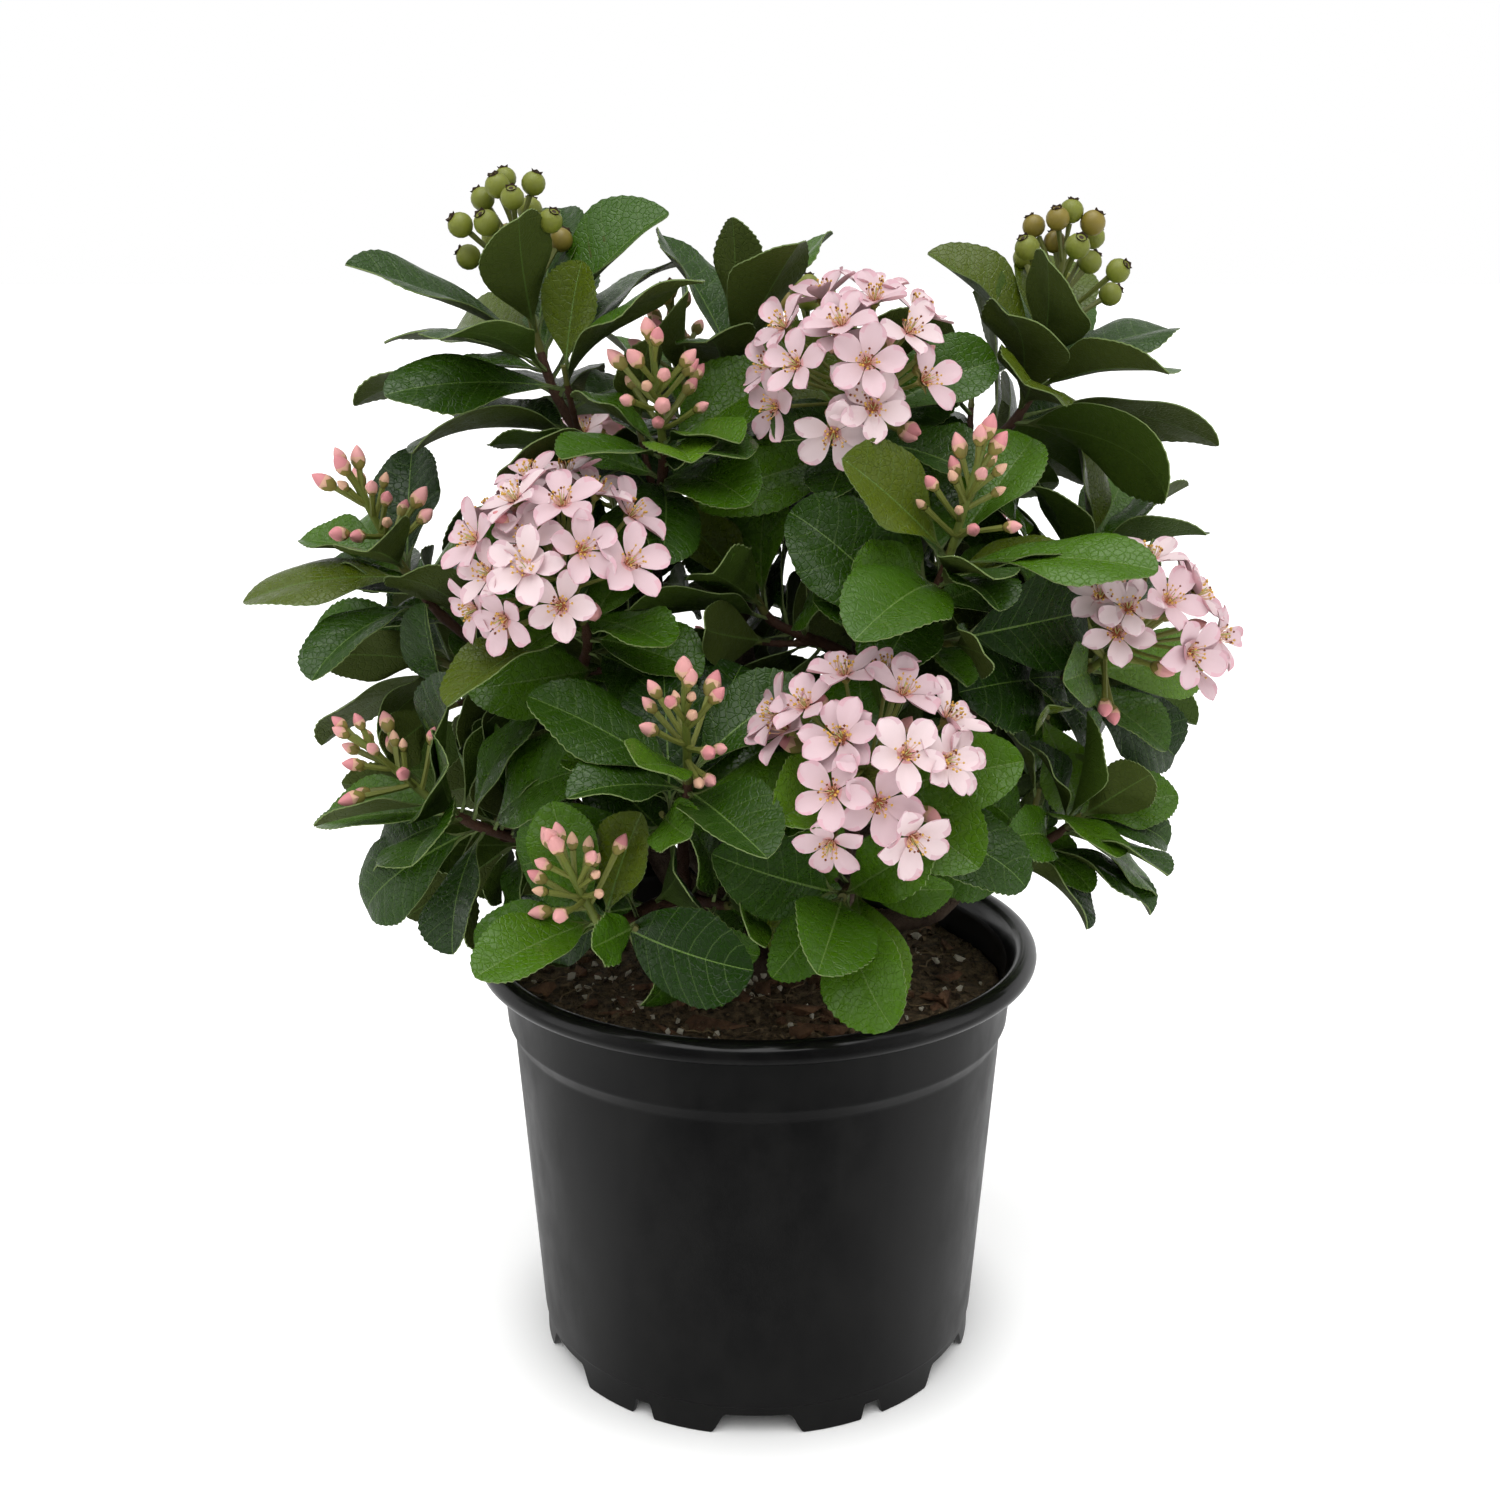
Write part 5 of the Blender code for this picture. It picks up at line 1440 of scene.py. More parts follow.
class PlantSettings(bpy.types.PropertyGroup):
    leaf_deep: colour("Deep leaves", (0.0105, 0.036, 0.0012))
    leaf_dark: colour("Dark leaves", (0.020, 0.059, 0.0015))
    leaf_green: colour("Green leaves", (0.038, 0.103, 0.0018))
    leaf_fresh: colour("Fresh leaves", (0.055, 0.136, 0.003))
    leaf_bright: colour("Bright leaves", (0.078, 0.170, 0.005))
    leaf_olive: colour("Olive leaves", (0.074, 0.108, 0.004))
    vein: colour("Veins", (0.11, 0.18, 0.045))
    midrib: colour("Midrib", (0.110, 0.190, 0.038))
    underside: colour("Underside", (0.062, 0.088, 0.013))
    petal: colour("Petals", (0.66, 0.485, 0.52))
    petal_edge: colour("Petal edges", (0.65, 0.405, 0.46))
    bud: colour("Buds", (0.70, 0.33, 0.32))
    calyx: colour("Calyx", (0.25, 0.21, 0.05))
    stalk: colour("Flower stalks", (0.15, 0.19, 0.032))
    berry: colour("Berries", (0.19, 0.215, 0.026))
    bark: colour("Bark", (0.060, 0.032, 0.020))
    young_bark: colour("Young bark", (0.075, 0.030, 0.014))
    relief: FloatProperty(
        name="Bark relief",
        description="Depth of the bark's ridges",
        default=0.45 * MM,
        unit="LENGTH",
        precision=5,
    )


class StageSettings(bpy.types.PropertyGroup):
    floor: colour("Floor", (0.96, 0.96, 0.955))
    floor_size: FloatProperty(name="Floor size", description="Side of the floor", default=40.0, unit="LENGTH")
    key: FloatProperty(name="Key light", description="Strength of the light from above", default=1.7)
    fill: FloatProperty(name="Fill light", description="Strength of the light from the front", default=0.6)
    side: FloatProperty(name="Side lights", description="Power of the strip lights", default=0.6, unit="POWER")
    sky: FloatProperty(name="Sky", description="Strength of the light from overhead", default=0.85)


SETTINGS = {"hawthorn_pot": PotSettings, "hawthorn_plant": PlantSettings, "hawthorn_stage": StageSettings}


# Finishes

# The floor's painted glow, and the reach from the pot's axis over which it fades in: nearer the foot it leaves
# painted shade
FLOOR_PAINTED_GLOW = 0.28
PAINTED_SHADE_REACH = (FOOT_RADIUS - 8 * MM, FOOT_RADIUS + 24 * MM)


def add_node(tree, kind, inputs, output=0, **settings):
    """A shader node's output, once each of its inputs is linked to an output or set to a value."""
    node = tree.nodes.new("ShaderNode" + kind)
    for name, value in settings.items():
        setattr(node, name, value)
    for name, value in inputs.items():
        if isinstance(value, bpy.types.NodeSocket):
            tree.links.new(value, node.inputs[name])
        else:
            node.inputs[name].default_value = value
    return node.outputs[output]


def node_group(name, inputs, outputs):
    """An empty shader group with named float or vector inputs, and the nodes at its two ends."""
    tree = bpy.data.node_groups.new(name, "ShaderNodeTree")
    for label, kind, value in inputs:
        socket = tree.interface.new_socket(name=label, in_out="INPUT", socket_type=kind)
        socket.default_value = value
    for label in outputs:
        tree.interface.new_socket(name=label, in_out="OUTPUT", socket_type="NodeSocketFloat")
    return tree, tree.nodes.new("NodeGroupInput").outputs, tree.nodes.new("NodeGroupOutput").inputs


@functools.cache
def grain_group():
    """Uneven tone, gloss and relief, from one noise that may be drawn out along an axis."""
    inputs = (
        ("Scale", "NodeSocketFloat", 300.0),
        ("Stretch", "NodeSocketVector", (1.0, 1.0, 1.0)),
        ("Low", "NodeSocketFloat", 0.3),
        ("High", "NodeSocketFloat", 0.5),
    )
    tree, given, results = node_group("Grain", inputs, ("Mask", "Roughness", "Height"))
    place = add_node(tree, "TexCoord", {}, "Object")
    place = add_node(tree, "VectorMath", {0: place, 1: given["Stretch"]}, operation="MULTIPLY")
    inputs = {"Vector": place, "Scale": given["Scale"], "Detail": 6, "Roughness": 0.62}
    grain = add_node(tree, "TexNoise", inputs)
    tone = add_node(tree, "MapRange", {"Value": grain, "From Min": 0.34, "From Max": 0.66})
    gloss = add_node(tree, "MapRange", {"Value": tone, "To Min": given["Low"], "To Max": given["High"]})
    for name, value in (("Mask", tone), ("Roughness", gloss), ("Height", grain)):
        tree.links.new(value, results[name])
    return tree


@functools.cache
def cells_group():
    """A fine net of cells with sunken joints, as in leaves, fruit skin and cork."""
    inputs = (("Scale", "NodeSocketFloat", 900.0), ("Joint", "NodeSocketFloat", 0.12))
    tree, given, results = node_group("Cells", inputs, ("Height",))
    place = {"Vector": add_node(tree, "TexCoord", {}, "Object"), "Scale": given["Scale"]}
    distance = add_node(tree, "TexVoronoi", place, "Distance", feature="DISTANCE_TO_EDGE")
    height = add_node(tree, "MapRange", {"Value": distance, "From Max": given["Joint"]})
    tree.links.new(height, results["Height"])
    return tree


FINISH_PARTS = "low high grain relief stretch cells cell_relief sockets"  # low and high are roughnesses
Finish = namedtuple("Finish", FINISH_PARTS, defaults=((1, 1, 1), 0, 0, {}))
LEAF_SHINE = {"Specular IOR Level": 0.38, "Coat Weight": 0.08}
GLOSS_LEAF = Finish(0.2, 0.42, 330, 0.26 * MM, cells=620, cell_relief=0.11 * MM, sockets=LEAF_SHINE)
UNDERSIDE_SHINE = {"Specular IOR Level": 0.25}
MATT_LEAF = Finish(0.5, 0.68, 300, 0.15 * MM, cells=620, cell_relief=0.12 * MM, sockets=UNDERSIDE_SHINE)
POT_FINISHES = {
    "black_plastic": Finish(0.31, 0.45, 75, 0.03 * MM, stretch=(1, 1, 0.6), cells=1600, cell_relief=0.006 * MM),
    "lip_plastic": Finish(0.16, 0.26, 60, 0.004 * MM),
}
SILKY = Finish(0.5, 0.7, 700, 0.03 * MM, sockets={"Specular IOR Level": 0.35})
STALK = Finish(0.4, 0.6, 900, 0.05 * MM)


@functools.cache
def finish_table():
    """Each finish's name, with its colour and surface."""
    plant, pot = bpy.context.scene.hawthorn_plant, bpy.context.scene.hawthorn_pot
    table = {}
    for tone in LEAF_TONES:
        colour = getattr(plant, tone)
        table[tone] = (colour, GLOSS_LEAF)
        table[tone + "_vein"] = (blend(colour, plant.vein, 0.34), GLOSS_LEAF)
    silky = dict(
        petal=plant.petal,
        petal_pale=blend(plant.petal, (0.82, 0.70, 0.70), 0.5),
        petal_edge=plant.petal_edge,
        petal_edge_pale=blend(plant.petal_edge, plant.petal, 0.6),
        petal_back=blend(plant.petal_edge, plant.bud, 0.22),
        petal_throat=blend(plant.petal_edge, plant.bud, 0.6),
        throat=(0.36, 0.10, 0.045),
        filament=(0.80, 0.52, 0.36),
        anther=(0.62, 0.36, 0.07),
        anther_dark=(0.20, 0.055, 0.022),
        style=(0.50, 0.52, 0.18),
        bud=plant.bud,
        bud_deep=blend(plant.bud, (0.55, 0.13, 0.18), 0.45),
        bud_pale=blend(plant.bud, (0.66, 0.46, 0.24), 0.55),
        bud_green=blend(plant.calyx, plant.stalk, 0.5),
    )
    stalks = dict(
        leaf_stalk=blend(plant.midrib, plant.young_bark, 0.35),
        calyx=plant.calyx,
        pedicel=blend(plant.stalk, plant.calyx, 0.25),
        flower_stalk=plant.stalk,
        berry_stalk=blend(plant.stalk, plant.young_bark, 0.3),
        green_stem=blend(plant.stalk, plant.young_bark, 0.45),
        root_fibre=(0.34, 0.24, 0.13),
    )
    for look, colours in ((SILKY, silky), (STALK, stalks)):
        table.update({name: (colour, look) for name, colour in colours.items()})
    skin = Finish(0.3, 0.5, 500, 0.05 * MM)
    twig = Finish(0.5, 0.8, 700, 0.14 * MM, stretch=(1, 1, 0.4), cells=900, cell_relief=0.1 * MM)
    table.update(
        midrib=(plant.midrib, GLOSS_LEAF),
        midrib_under=(blend(plant.underside, plant.midrib, 0.7), MATT_LEAF),
        leaf_edge=(blend(plant.midrib, (0.22, 0.27, 0.11), 0.55), MATT_LEAF),
        underside=(plant.underside, MATT_LEAF),
        underside_dark=(blend(plant.underside, plant.leaf_green, 0.45), MATT_LEAF),
        berry=(plant.berry, skin._replace(cells=1400, cell_relief=0.03 * MM)),
        berry_ripe=(blend(plant.berry, (0.30, 0.10, 0.03), 0.35), skin),
        crown=((0.050, 0.026, 0.014), Finish(0.7, 0.9, 900, 0.1 * MM)),
        young_bark=(plant.young_bark, twig),
        perlite=(pot.perlite, Finish(0.8, 0.95, 900, 0.25 * MM, cells=1500, cell_relief=0.1 * MM)),
    )
    return table


def blend(low, high, share):
    """A colour between two."""
    return tuple(mix(a, b, share) for a, b in zip(low, high))


def relief_nodes(tree, shader, look):
    """Links the finish's grain and cells to the shader's roughness and normal, and returns the grain."""
    grain = tree.nodes.new("ShaderNodeGroup")
    grain.node_tree = grain_group()
    inputs = {"Scale": look.grain, "Stretch": look.stretch, "Low": look.low, "High": look.high}
    for name, value in inputs.items():
        grain.inputs[name].default_value = value
    tree.links.new(grain.outputs["Roughness"], shader.inputs["Roughness"])
    normal = add_node(tree, "Bump", {"Distance": look.relief, "Height": grain.outputs["Height"]})
    if look.cells:
        cells = tree.nodes.new("ShaderNodeGroup")
        cells.node_tree = cells_group()
        cells.inputs["Scale"].default_value = look.cells
        height = cells.outputs["Height"]
        normal = add_node(tree, "Bump", {"Distance": look.cell_relief, "Height": height, "Normal": normal})
    tree.links.new(normal, shader.inputs["Normal"])
    return grain


def new_material(name, sockets):
    """An empty finish and its shader, with the given inputs set."""
    made = bpy.data.materials.new(name)
    made.use_nodes = True
    shader = made.node_tree.nodes["Principled BSDF"]
    for socket, value in sockets.items():
        shader.inputs[socket].default_value = value
    return made, shader


def mottled(name, first, second, look):
    """A finish whose colour wanders between two."""
    made, shader = new_material(name, look.sockets)
    tree = made.node_tree
    mask = relief_nodes(tree, shader, look).outputs["Mask"]
    tones = {"Factor": mask, "A": (*first, 1), "B": (*second, 1)}
    tree.links.new(add_node(tree, "Mix", tones, "Result", data_type="RGBA"), shader.inputs["Base Color"])
    return made


def paint_shade_round_pot(tree):
    """A faint glow painted on the floor, which fades out round and under the pot's foot as painted shade."""
    shader = tree.nodes["Principled BSDF"]
    place = {0: add_node(tree, "TexCoord", {}, "Object")}
    reach = add_node(tree, "VectorMath", place, "Value", operation="LENGTH")
    tree.links.new(map_range(tree, reach, *PAINTED_SHADE_REACH, 0.0, 1.0), shader.inputs["Emission Color"])
    shader.inputs["Emission Strength"].default_value = FLOOR_PAINTED_GLOW


def darken_in_gloss(tree):
    """Painted reflection: glossy pieces see this surface glow dark in front of the plant, white behind it and
    brighter near the pot.
    """
    dark = add_node(tree, "Emission", {"Color": room_gloss(tree, add_node(tree, "TexCoord", {}, "Object"))})
    glossy = add_node(tree, "LightPath", {}, "Is Glossy Ray")
    seen = {0: glossy, 1: tree.nodes["Principled BSDF"].outputs[0], 2: dark}
    tree.links.new(add_node(tree, "MixShader", seen), tree.nodes["Material Output"].inputs["Surface"])


@functools.cache
def mottled_table():
    """Each mottled finish's name, with its two colours and surface."""
    plant, pot = bpy.context.scene.hawthorn_plant, bpy.context.scene.hawthorn_pot
    floor = bpy.context.scene.hawthorn_stage.floor
    soil = Finish(0.85, 1.0, 420, 0.9 * MM, cells=700, cell_relief=0.3 * MM)
    chip = Finish(0.7, 0.95, 260, 0.35 * MM, stretch=(1, 0.3, 1), cells=500, cell_relief=0.15 * MM)
    bark = Finish(0.7, 0.95, 380, 0.35 * MM, stretch=(1, 1, 0.3), cells=800, cell_relief=0.15 * MM)
    return {
        **{name: (pot.plastic, pot.dust, look) for name, look in POT_FINISHES.items()},
        "soil": (pot.soil, pot.soil_dry, soil),
        "crumb": (blend(pot.soil, (0, 0, 0), 0.3), pot.soil_dry, Finish(0.85, 1.0, 300, 0.4 * MM)),
        "bark_chip": (pot.chip, blend(pot.chip, (0.02, 0.01, 0.006), 0.75), chip),
        "bark": (plant.bark, blend(plant.bark, (0.16, 0.12, 0.08), 0.5), bark),
        "floor": (floor, blend(floor, (0.8, 0.8, 0.8), 0.2), Finish(0.6, 0.75, 12, 0.01 * MM)),
    }


@functools.cache
def material(name):
    """The finish of this name, made the first time it's asked for."""
    if name in mottled_table():
        made = mottled(name, *mottled_table()[name])
        if name == "floor":
            paint_shade_round_pot(made.node_tree)
            darken_in_gloss(made.node_tree)
        return made
    colour, look = finish_table()[name]
    made, shader = new_material(name, look.sockets)
    shader.inputs["Base Color"].default_value = (*colour, 1)
    relief_nodes(made.node_tree, shader, look)
    return made


# Pieces


def fit(piece, slot, *nodes):
    """The piece rides with the plant and stands for its nodes, which are hidden. slot is not used."""
    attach(piece, BODY)
    if nodes:
        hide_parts(*nodes)
    return piece


def pot_profile():
    """Radius and height down the pot's outer side and under its foot ring, after the inside and the lip."""
    lip = (LIP_RADIUS - LIP_ROLL, POT_HEIGHT - LIP_ROLL)
    inner = NECK_TOP_RADIUS - POT_WALL
    step = 0.5 * MM

    def corner(radius, height, *steps):
        return [(radius + step * out, height + step * up) for out, up in steps]

    turns = [radians(turn) for turn in (150, 130, 110, 90, 72, 54, 36, 18, 0, -18, -36, -55, -78, -100)]
    return [
        (WALL_FOOT_RADIUS - POT_WALL - 0.6 * MM, FLOOR_HEIGHT + POT_WALL),
        (WALL_TOP_RADIUS - POT_WALL, WALL_TOP_HEIGHT),
        (NECK_FOOT_RADIUS - POT_WALL, NECK_FOOT_HEIGHT),
        (inner - 0.3 * MM, POT_HEIGHT - LIP_ROLL * 2.2),
        (inner, POT_HEIGHT - LIP_ROLL * 1.6),
        *[(lip[0] + LIP_ROLL * cos(turn), lip[1] + LIP_ROLL * sin(turn)) for turn in turns],
        (NECK_TOP_RADIUS + step * 1.6, POT_HEIGHT - LIP_ROLL * 2.02),
        (NECK_TOP_RADIUS + step * 0.6, POT_HEIGHT - LIP_ROLL * 2.1),
        (NECK_TOP_RADIUS, POT_HEIGHT - LIP_ROLL * 2.4),
        *corner(NECK_FOOT_RADIUS, NECK_FOOT_HEIGHT, (0.1, 2), (0, 0.8), (-0.3, 0), (-1.1, -1.2)),
        *corner(WALL_TOP_RADIUS, WALL_TOP_HEIGHT, (0.5, 1.5), (0, 0.4), (-0.1, -1)),
        (mix(WALL_TOP_RADIUS, WALL_FOOT_RADIUS, 0.5), mix(WALL_TOP_HEIGHT, FOOT_RING_HEIGHT, 0.5)),
        *corner(WALL_FOOT_RADIUS, FOOT_RING_HEIGHT, (0.1, 1.5), (0, 0.6), (-0.5, 0.1)),
        *corner(FOOT_RADIUS, FOOT_RING_HEIGHT, (0.2, -1), (0, -2)),
    ]


LIP_ROWS = (4, 19)  # the lip's points in the profile


def notch_height(bearing):
    """How far the foot ring is cut away at a bearing in radians, with round corners."""
    deepest = 0.0
    spacing = tau / NOTCH_COUNT
    for (low, high, height), offset in NOTCHES:
        turn = (bearing + pi / 2 - offset * spacing + spacing / 2) % spacing - spacing / 2
        beside = abs(turn) * FOOT_RADIUS
        rise = min(1.0, max(0.0, (low - beside) / (low - high)))
        deepest = max(deepest, height * rise * rise * (3 - 2 * rise))
    return deepest


def pot_bearings(sides):
    """Evenly spaced bearings, and those where the notches' corners are."""
    bearings = [tau * side / sides for side in range(sides)]
    spacing = tau / NOTCH_COUNT
    for number in range(NOTCH_COUNT):
        for (low, high, _), offset in NOTCHES:
            middle = -pi / 2 + spacing * (number + offset)
            for half in np.linspace(low, high, 7):
                bearings += [middle - half / FOOT_RADIUS, middle + half / FOOT_RADIUS]
    return np.array(sorted({round(bearing % tau, 5) for bearing in bearings}))


def revolve(profile, bearings):
    """A grid of points, by profile point and bearing. Heights may be functions of the bearing."""
    rows = []
    for radius, height in profile:
        level = np.array([height(b) if callable(height) else height for b in bearings])
        rows.append(np.stack([np.cos(bearings) * radius, np.sin(bearings) * radius, level], axis=-1))
    return np.array(rows)


def build_pot():
    """The pot as one thin shell, with its foot ring cut by notches and its floor by drains."""
    bearings = pot_bearings(bpy.context.scene.hawthorn_pot.sides)
    inner_foot = FOOT_RADIUS - POT_WALL
    profile = pot_profile()
    profile += [
        (FOOT_RADIUS, lambda b: notch_height(b) + 0.3 * MM),
        (FOOT_RADIUS - 0.3 * MM, notch_height),
        (inner_foot + 0.3 * MM, notch_height),
        (inner_foot, lambda b: notch_height(b) + 0.3 * MM),
        (inner_foot - 0.3 * MM, FLOOR_HEIGHT),
    ]
    sheets = Sheets()
    shell = revolve(profile, bearings)
    finishes = [
        ["lip_plastic" if LIP_ROWS[0] <= row < LIP_ROWS[1] else "black_plastic"] * len(bearings)
        for row in range(len(profile) - 1)
    ]
    sheets.grid(shell, finishes, wrap=True, flip=True)
    sheets.fan(shell[0], "black_plastic", UP * (FLOOR_HEIGHT + POT_WALL))
    sheets.fan(shell[-1], "black_plastic", UP * FLOOR_HEIGHT, flip=True)
    pot = sheets.build("nursery_pot")
    weld(pot)
    cut_drains(pot)
    pot.data.set_sharp_from_angle(angle=radians(38))
    return fit(pot, "black_plastic", "pot")


def weld(piece):
    """Joins the points that fall on one another."""
    work = bmesh.new()
    work.from_mesh(piece.data)
    bmesh.ops.remove_doubles(work, verts=work.verts, dist=0.001 * MM)
    work.to_mesh(piece.data)
    work.free()


def cut_drains(pot):
    """Six round drains through the pot's floor."""
    drains = bpy.data.collections.new("Drains")
    bpy.context.scene.collection.children.link(drains)
    drill = bpy.data.meshes.new("drain")
    work = bmesh.new()
    round_bar = {"segments": 24, "radius1": DRAIN_RADIUS, "radius2": DRAIN_RADIUS, "depth": 8 * MM}
    bmesh.ops.create_cone(work, cap_ends=True, **round_bar)
    work.to_mesh(drill)
    work.free()
    spacing = 360 / NOTCH_COUNT
    height = (FLOOR_HEIGHT + POT_WALL / 2) / MM
    for number in range(NOTCH_COUNT):
        cutter = bpy.data.objects.new(f"drain_{number}", drill)
        place = polar(-90 + spacing * (number + 0.5), DRAIN_REACH / MM, height)
        cutter.matrix_world = Matrix.Translation(place)
        drains.objects.link(cutter)
    cut = pot.modifiers.new("Drains", "BOOLEAN")
    cut.operand_type = "COLLECTION"
    cut.collection = drains
    cut.solver = "EXACT"
    bpy.context.view_layer.update()
    mesh = bpy.data.meshes.new_from_object(pot.evaluated_get(bpy.context.evaluated_depsgraph_get()))
    pot.modifiers.clear()
    pot.data = mesh
    for cutter in list(drains.objects):
        bpy.data.objects.remove(cutter)
    bpy.data.collections.remove(drains)


def build_soil():
    """The soil's lumpy bed, which fills the pot."""
    sides, rings = 150, 52
    turns = np.arange(sides) * tau / sides
    rows = []
    for ring in range(1, rings + 1):
        reach = SOIL_RADIUS * ring / rings
        spots = [(cos(turn) * reach, sin(turn) * reach) for turn in turns]
        rows.append([(x, y, soil_height(x, y) - (1.5 * MM if ring == rings else 0)) for x, y in spots])
    clear = POT_WALL + GAP + 0.2 * MM
    floor = FLOOR_HEIGHT + POT_WALL + GAP
    below = [
        (NECK_FOOT_RADIUS - clear, NECK_FOOT_HEIGHT),
        (WALL_TOP_RADIUS - clear, WALL_TOP_HEIGHT),
        (WALL_FOOT_RADIUS - clear - 0.6 * MM, floor),
    ]
    grid = np.concatenate([np.array(rows), revolve(below, turns)])
    sheets = Sheets()
    sheets.grid(grid, "soil", wrap=True, flip=True)
    sheets.fan(grid[0], "soil", UP * soil_height(0, 0))
    sheets.fan(grid[-1], "soil", UP * floor, flip=True)
    return fit(sheets.build("soil_bed"), "potting_mix", "potting_mix")


def scatter(sheets, rng, count, kinds, finish, reach, sink):
    """Chips, crumbs or grains strewn over the soil, tilted and partly sunk."""
    for _ in range(count):
        points, faces, thickness = rng.choice(kinds)
        turn, out = rng.uniform(0, tau), reach * sqrt(rng.random())
        x, y = cos(turn) * out, sin(turn) * out
        if hypot(x, y) < 9 * MM:
            continue
        size = rng.uniform(0.6, 1.25)
        tilt = Matrix.Rotation(rng.uniform(0, 6.28), 3, "Z") @ Matrix.Rotation(rng.gauss(0, 0.35), 3, "X")
        spot = np.array([x, y, soil_height(x, y) + thickness * size * (0.5 - sink)])
        sheets.add(points * size @ np.array(tilt).T + spot, faces, finish)


def build_litter():
    """Bark chips, crumbs and perlite on the soil, and fine roots among them."""
    pot = bpy.context.scene.hawthorn_pot
    rng = Random("litter")
    reach = SOIL_RADIUS - 4.5 * MM

    def shapes(count, low, high, corners):
        made = []
        for _ in range(count):
            size = [rng.uniform(a, b) * MM for a, b in zip(low, high)]
            made.append((*shard(rng, size, corners), size[2]))
        return made

    for name, finish, count, kinds, beyond, sink in (
        ("bark_chips", "bark_chip", pot.chips, (14, (5, 3.5, 1.6), (15, 9, 3.8), 13), -2 * MM, 0.2),
        ("soil_crumbs", "crumb", pot.crumbs, (12, (1.2, 1.2, 0.9), (3.6, 3.0, 2.4), 9), 2 * MM, 0.2),
        ("perlite_grains", "perlite", pot.grains, (10, (0.9, 0.9, 0.8), (3.6, 3.0, 2.6), 14), 0, 0.15),
    ):
        sheets = Sheets()
        scatter(sheets, rng, count, shapes(*kinds), finish, reach + beyond, sink)
        fit(sheets.build(name, smooth=False), "potting_mix")
    sheets = Sheets()
    for _ in range(pot.roots):
        turn, out = rng.uniform(0, tau), (reach - 3 * MM) * sqrt(rng.random())
        x, y, way = cos(turn) * out, sin(turn) * out, rng.uniform(0, 6.28)
        path = []
        for _ in range(rng.randint(5, 11)):
            if hypot(x, y) > reach:
                break
            path.append((x, y, soil_height(x, y) + rng.uniform(0.3, 1.9) * MM))
            way += rng.gauss(0, 0.5)
            x, y = x + cos(way) * 2.2 * MM, y + sin(way) * 2.2 * MM
        if len(path) > 3:
            sheets.tube(path, spread([0.28 * MM, 0.12 * MM], len(path) - 1), 4, "root_fibre")
    fit(sheets.build("root_fibres"), "potting_mix")


def build_trunk():
    """The trunk from its flare in the soil to its fork, with the bark's relief."""
    top = TRUNK_STAGES[-1][0]
    levels = np.linspace(0, top, 52)
    path, radii = zip(*[trunk_point(level) for level in levels])
    below = [(path[0] - UP * (depth * MM), radii[0] * 1.08) for depth in (4, 2)]
    line = [point for point, _ in below] + list(path)
    wide = [radius for _, radius in below] + list(radii)
    wide[-1], wide[-2] = wide[-1] * 0.5, wide[-2] * 0.85
    sheets = Sheets()
    add_limb(sheets, line, wide, 56, bpy.context.scene.hawthorn_plant.relief * 1.5, 3.0, "bark")
    return fit(sheets.build("trunk_bark"), "bark", "trunk")


def build_boughs():
    """The boughs, each from inside the trunk, with a collar, to where its shoots begin."""
    sheets = Sheets()
    for number, bough in enumerate(BOUGHS):
        path = bough_path(bough)
        end = path[-1] + (path[-1] - path[-2]).normalized() * 2.5 * MM
        line = smooth_path([trunk_point(bough.level)[0], *path, end], 40)
        base = BOUGH_BASE_RADIUS
        radii = spread([base * 1.25, base * 1.2, base, BOUGH_TIP_RADIUS * 1.05], 40)
        radii[-1] *= 0.7
        add_limb(sheets, line, radii, 20, bpy.context.scene.hawthorn_plant.relief, number * 1.7, "bark")
    return fit(sheets.build("bough_bark"), "bark", *[bough.name for bough in BOUGHS])


def build_twigs():
    """The shoots' stems and side twigs, which rise from inside their boughs."""
    plant = grown_plant()
    sheets = Sheets()
    tips = {bough.name: bough_path(bough) for bough in BOUGHS}
    for shoot in SHOOTS:
        rng = Random(shoot.name + " bark")
        (_, stem), = plant.records("stem", [shoot.name])
        bough = tips[shoot.bough]
        run = (bough[-1] - bough[-2]).normalized()
        path = [bough[-1] - run * 2 * MM, *stem.path]
        woody = {"berries": 0.9, "leaves": 0.82}.get(shoot.crop, 0.88)
        add_stem(sheets, path, [STEM_RADIUS * 1.15, *stem.radii], rng, woody)
        for _, twig in plant.records("twig", [shoot.name]):
            end = twig.path[-1] + (twig.path[-1] - twig.path[0]).normalized() * 1.5 * MM
            middle = twig.path[0].lerp(end, 0.5) + UP * (-0.8 * MM)
            radii = [TWIG_RADIUS, TWIG_RADIUS * 0.9, TWIG_RADIUS * 0.75]
            add_stem(sheets, [twig.path[0], middle, end], radii, rng, 0.7)
    return fit(sheets.build("stems_and_twigs"), "bark")


def region(shoot):
    """The side of the crown that a shoot belongs to."""
    if shoot.height >= 240:
        return "top"
    turn = shoot.bearing % 360
    for side, low, high in (("front", 210, 320), ("back", 50, 150), ("left", 150, 210)):
        if low <= turn < high:
            return side
    return "right"


def leaf_tone(rng, shoot, age):
    """A leaf's tone: young inner leaves are fresh or olive, and old ones dark."""
    young = max(0.0, 0.75 - age)
    odds = {
        "leaf_deep": 0.16 + age * 0.3,
        "leaf_dark": 0.5 + age * 0.5,
        "leaf_green": 0.7,
        "leaf_fresh": 0.3 + young,
        "leaf_bright": 0.045 + young * 0.12 + (0.1 if shoot.height < 170 else 0.0),
        "leaf_olive": 0.06 + young * 0.9 + (0.25 if shoot.crop == "berries" and age < 0.5 else 0.0),
    }
    return rng.choices(list(odds), list(odds.values()))[0]


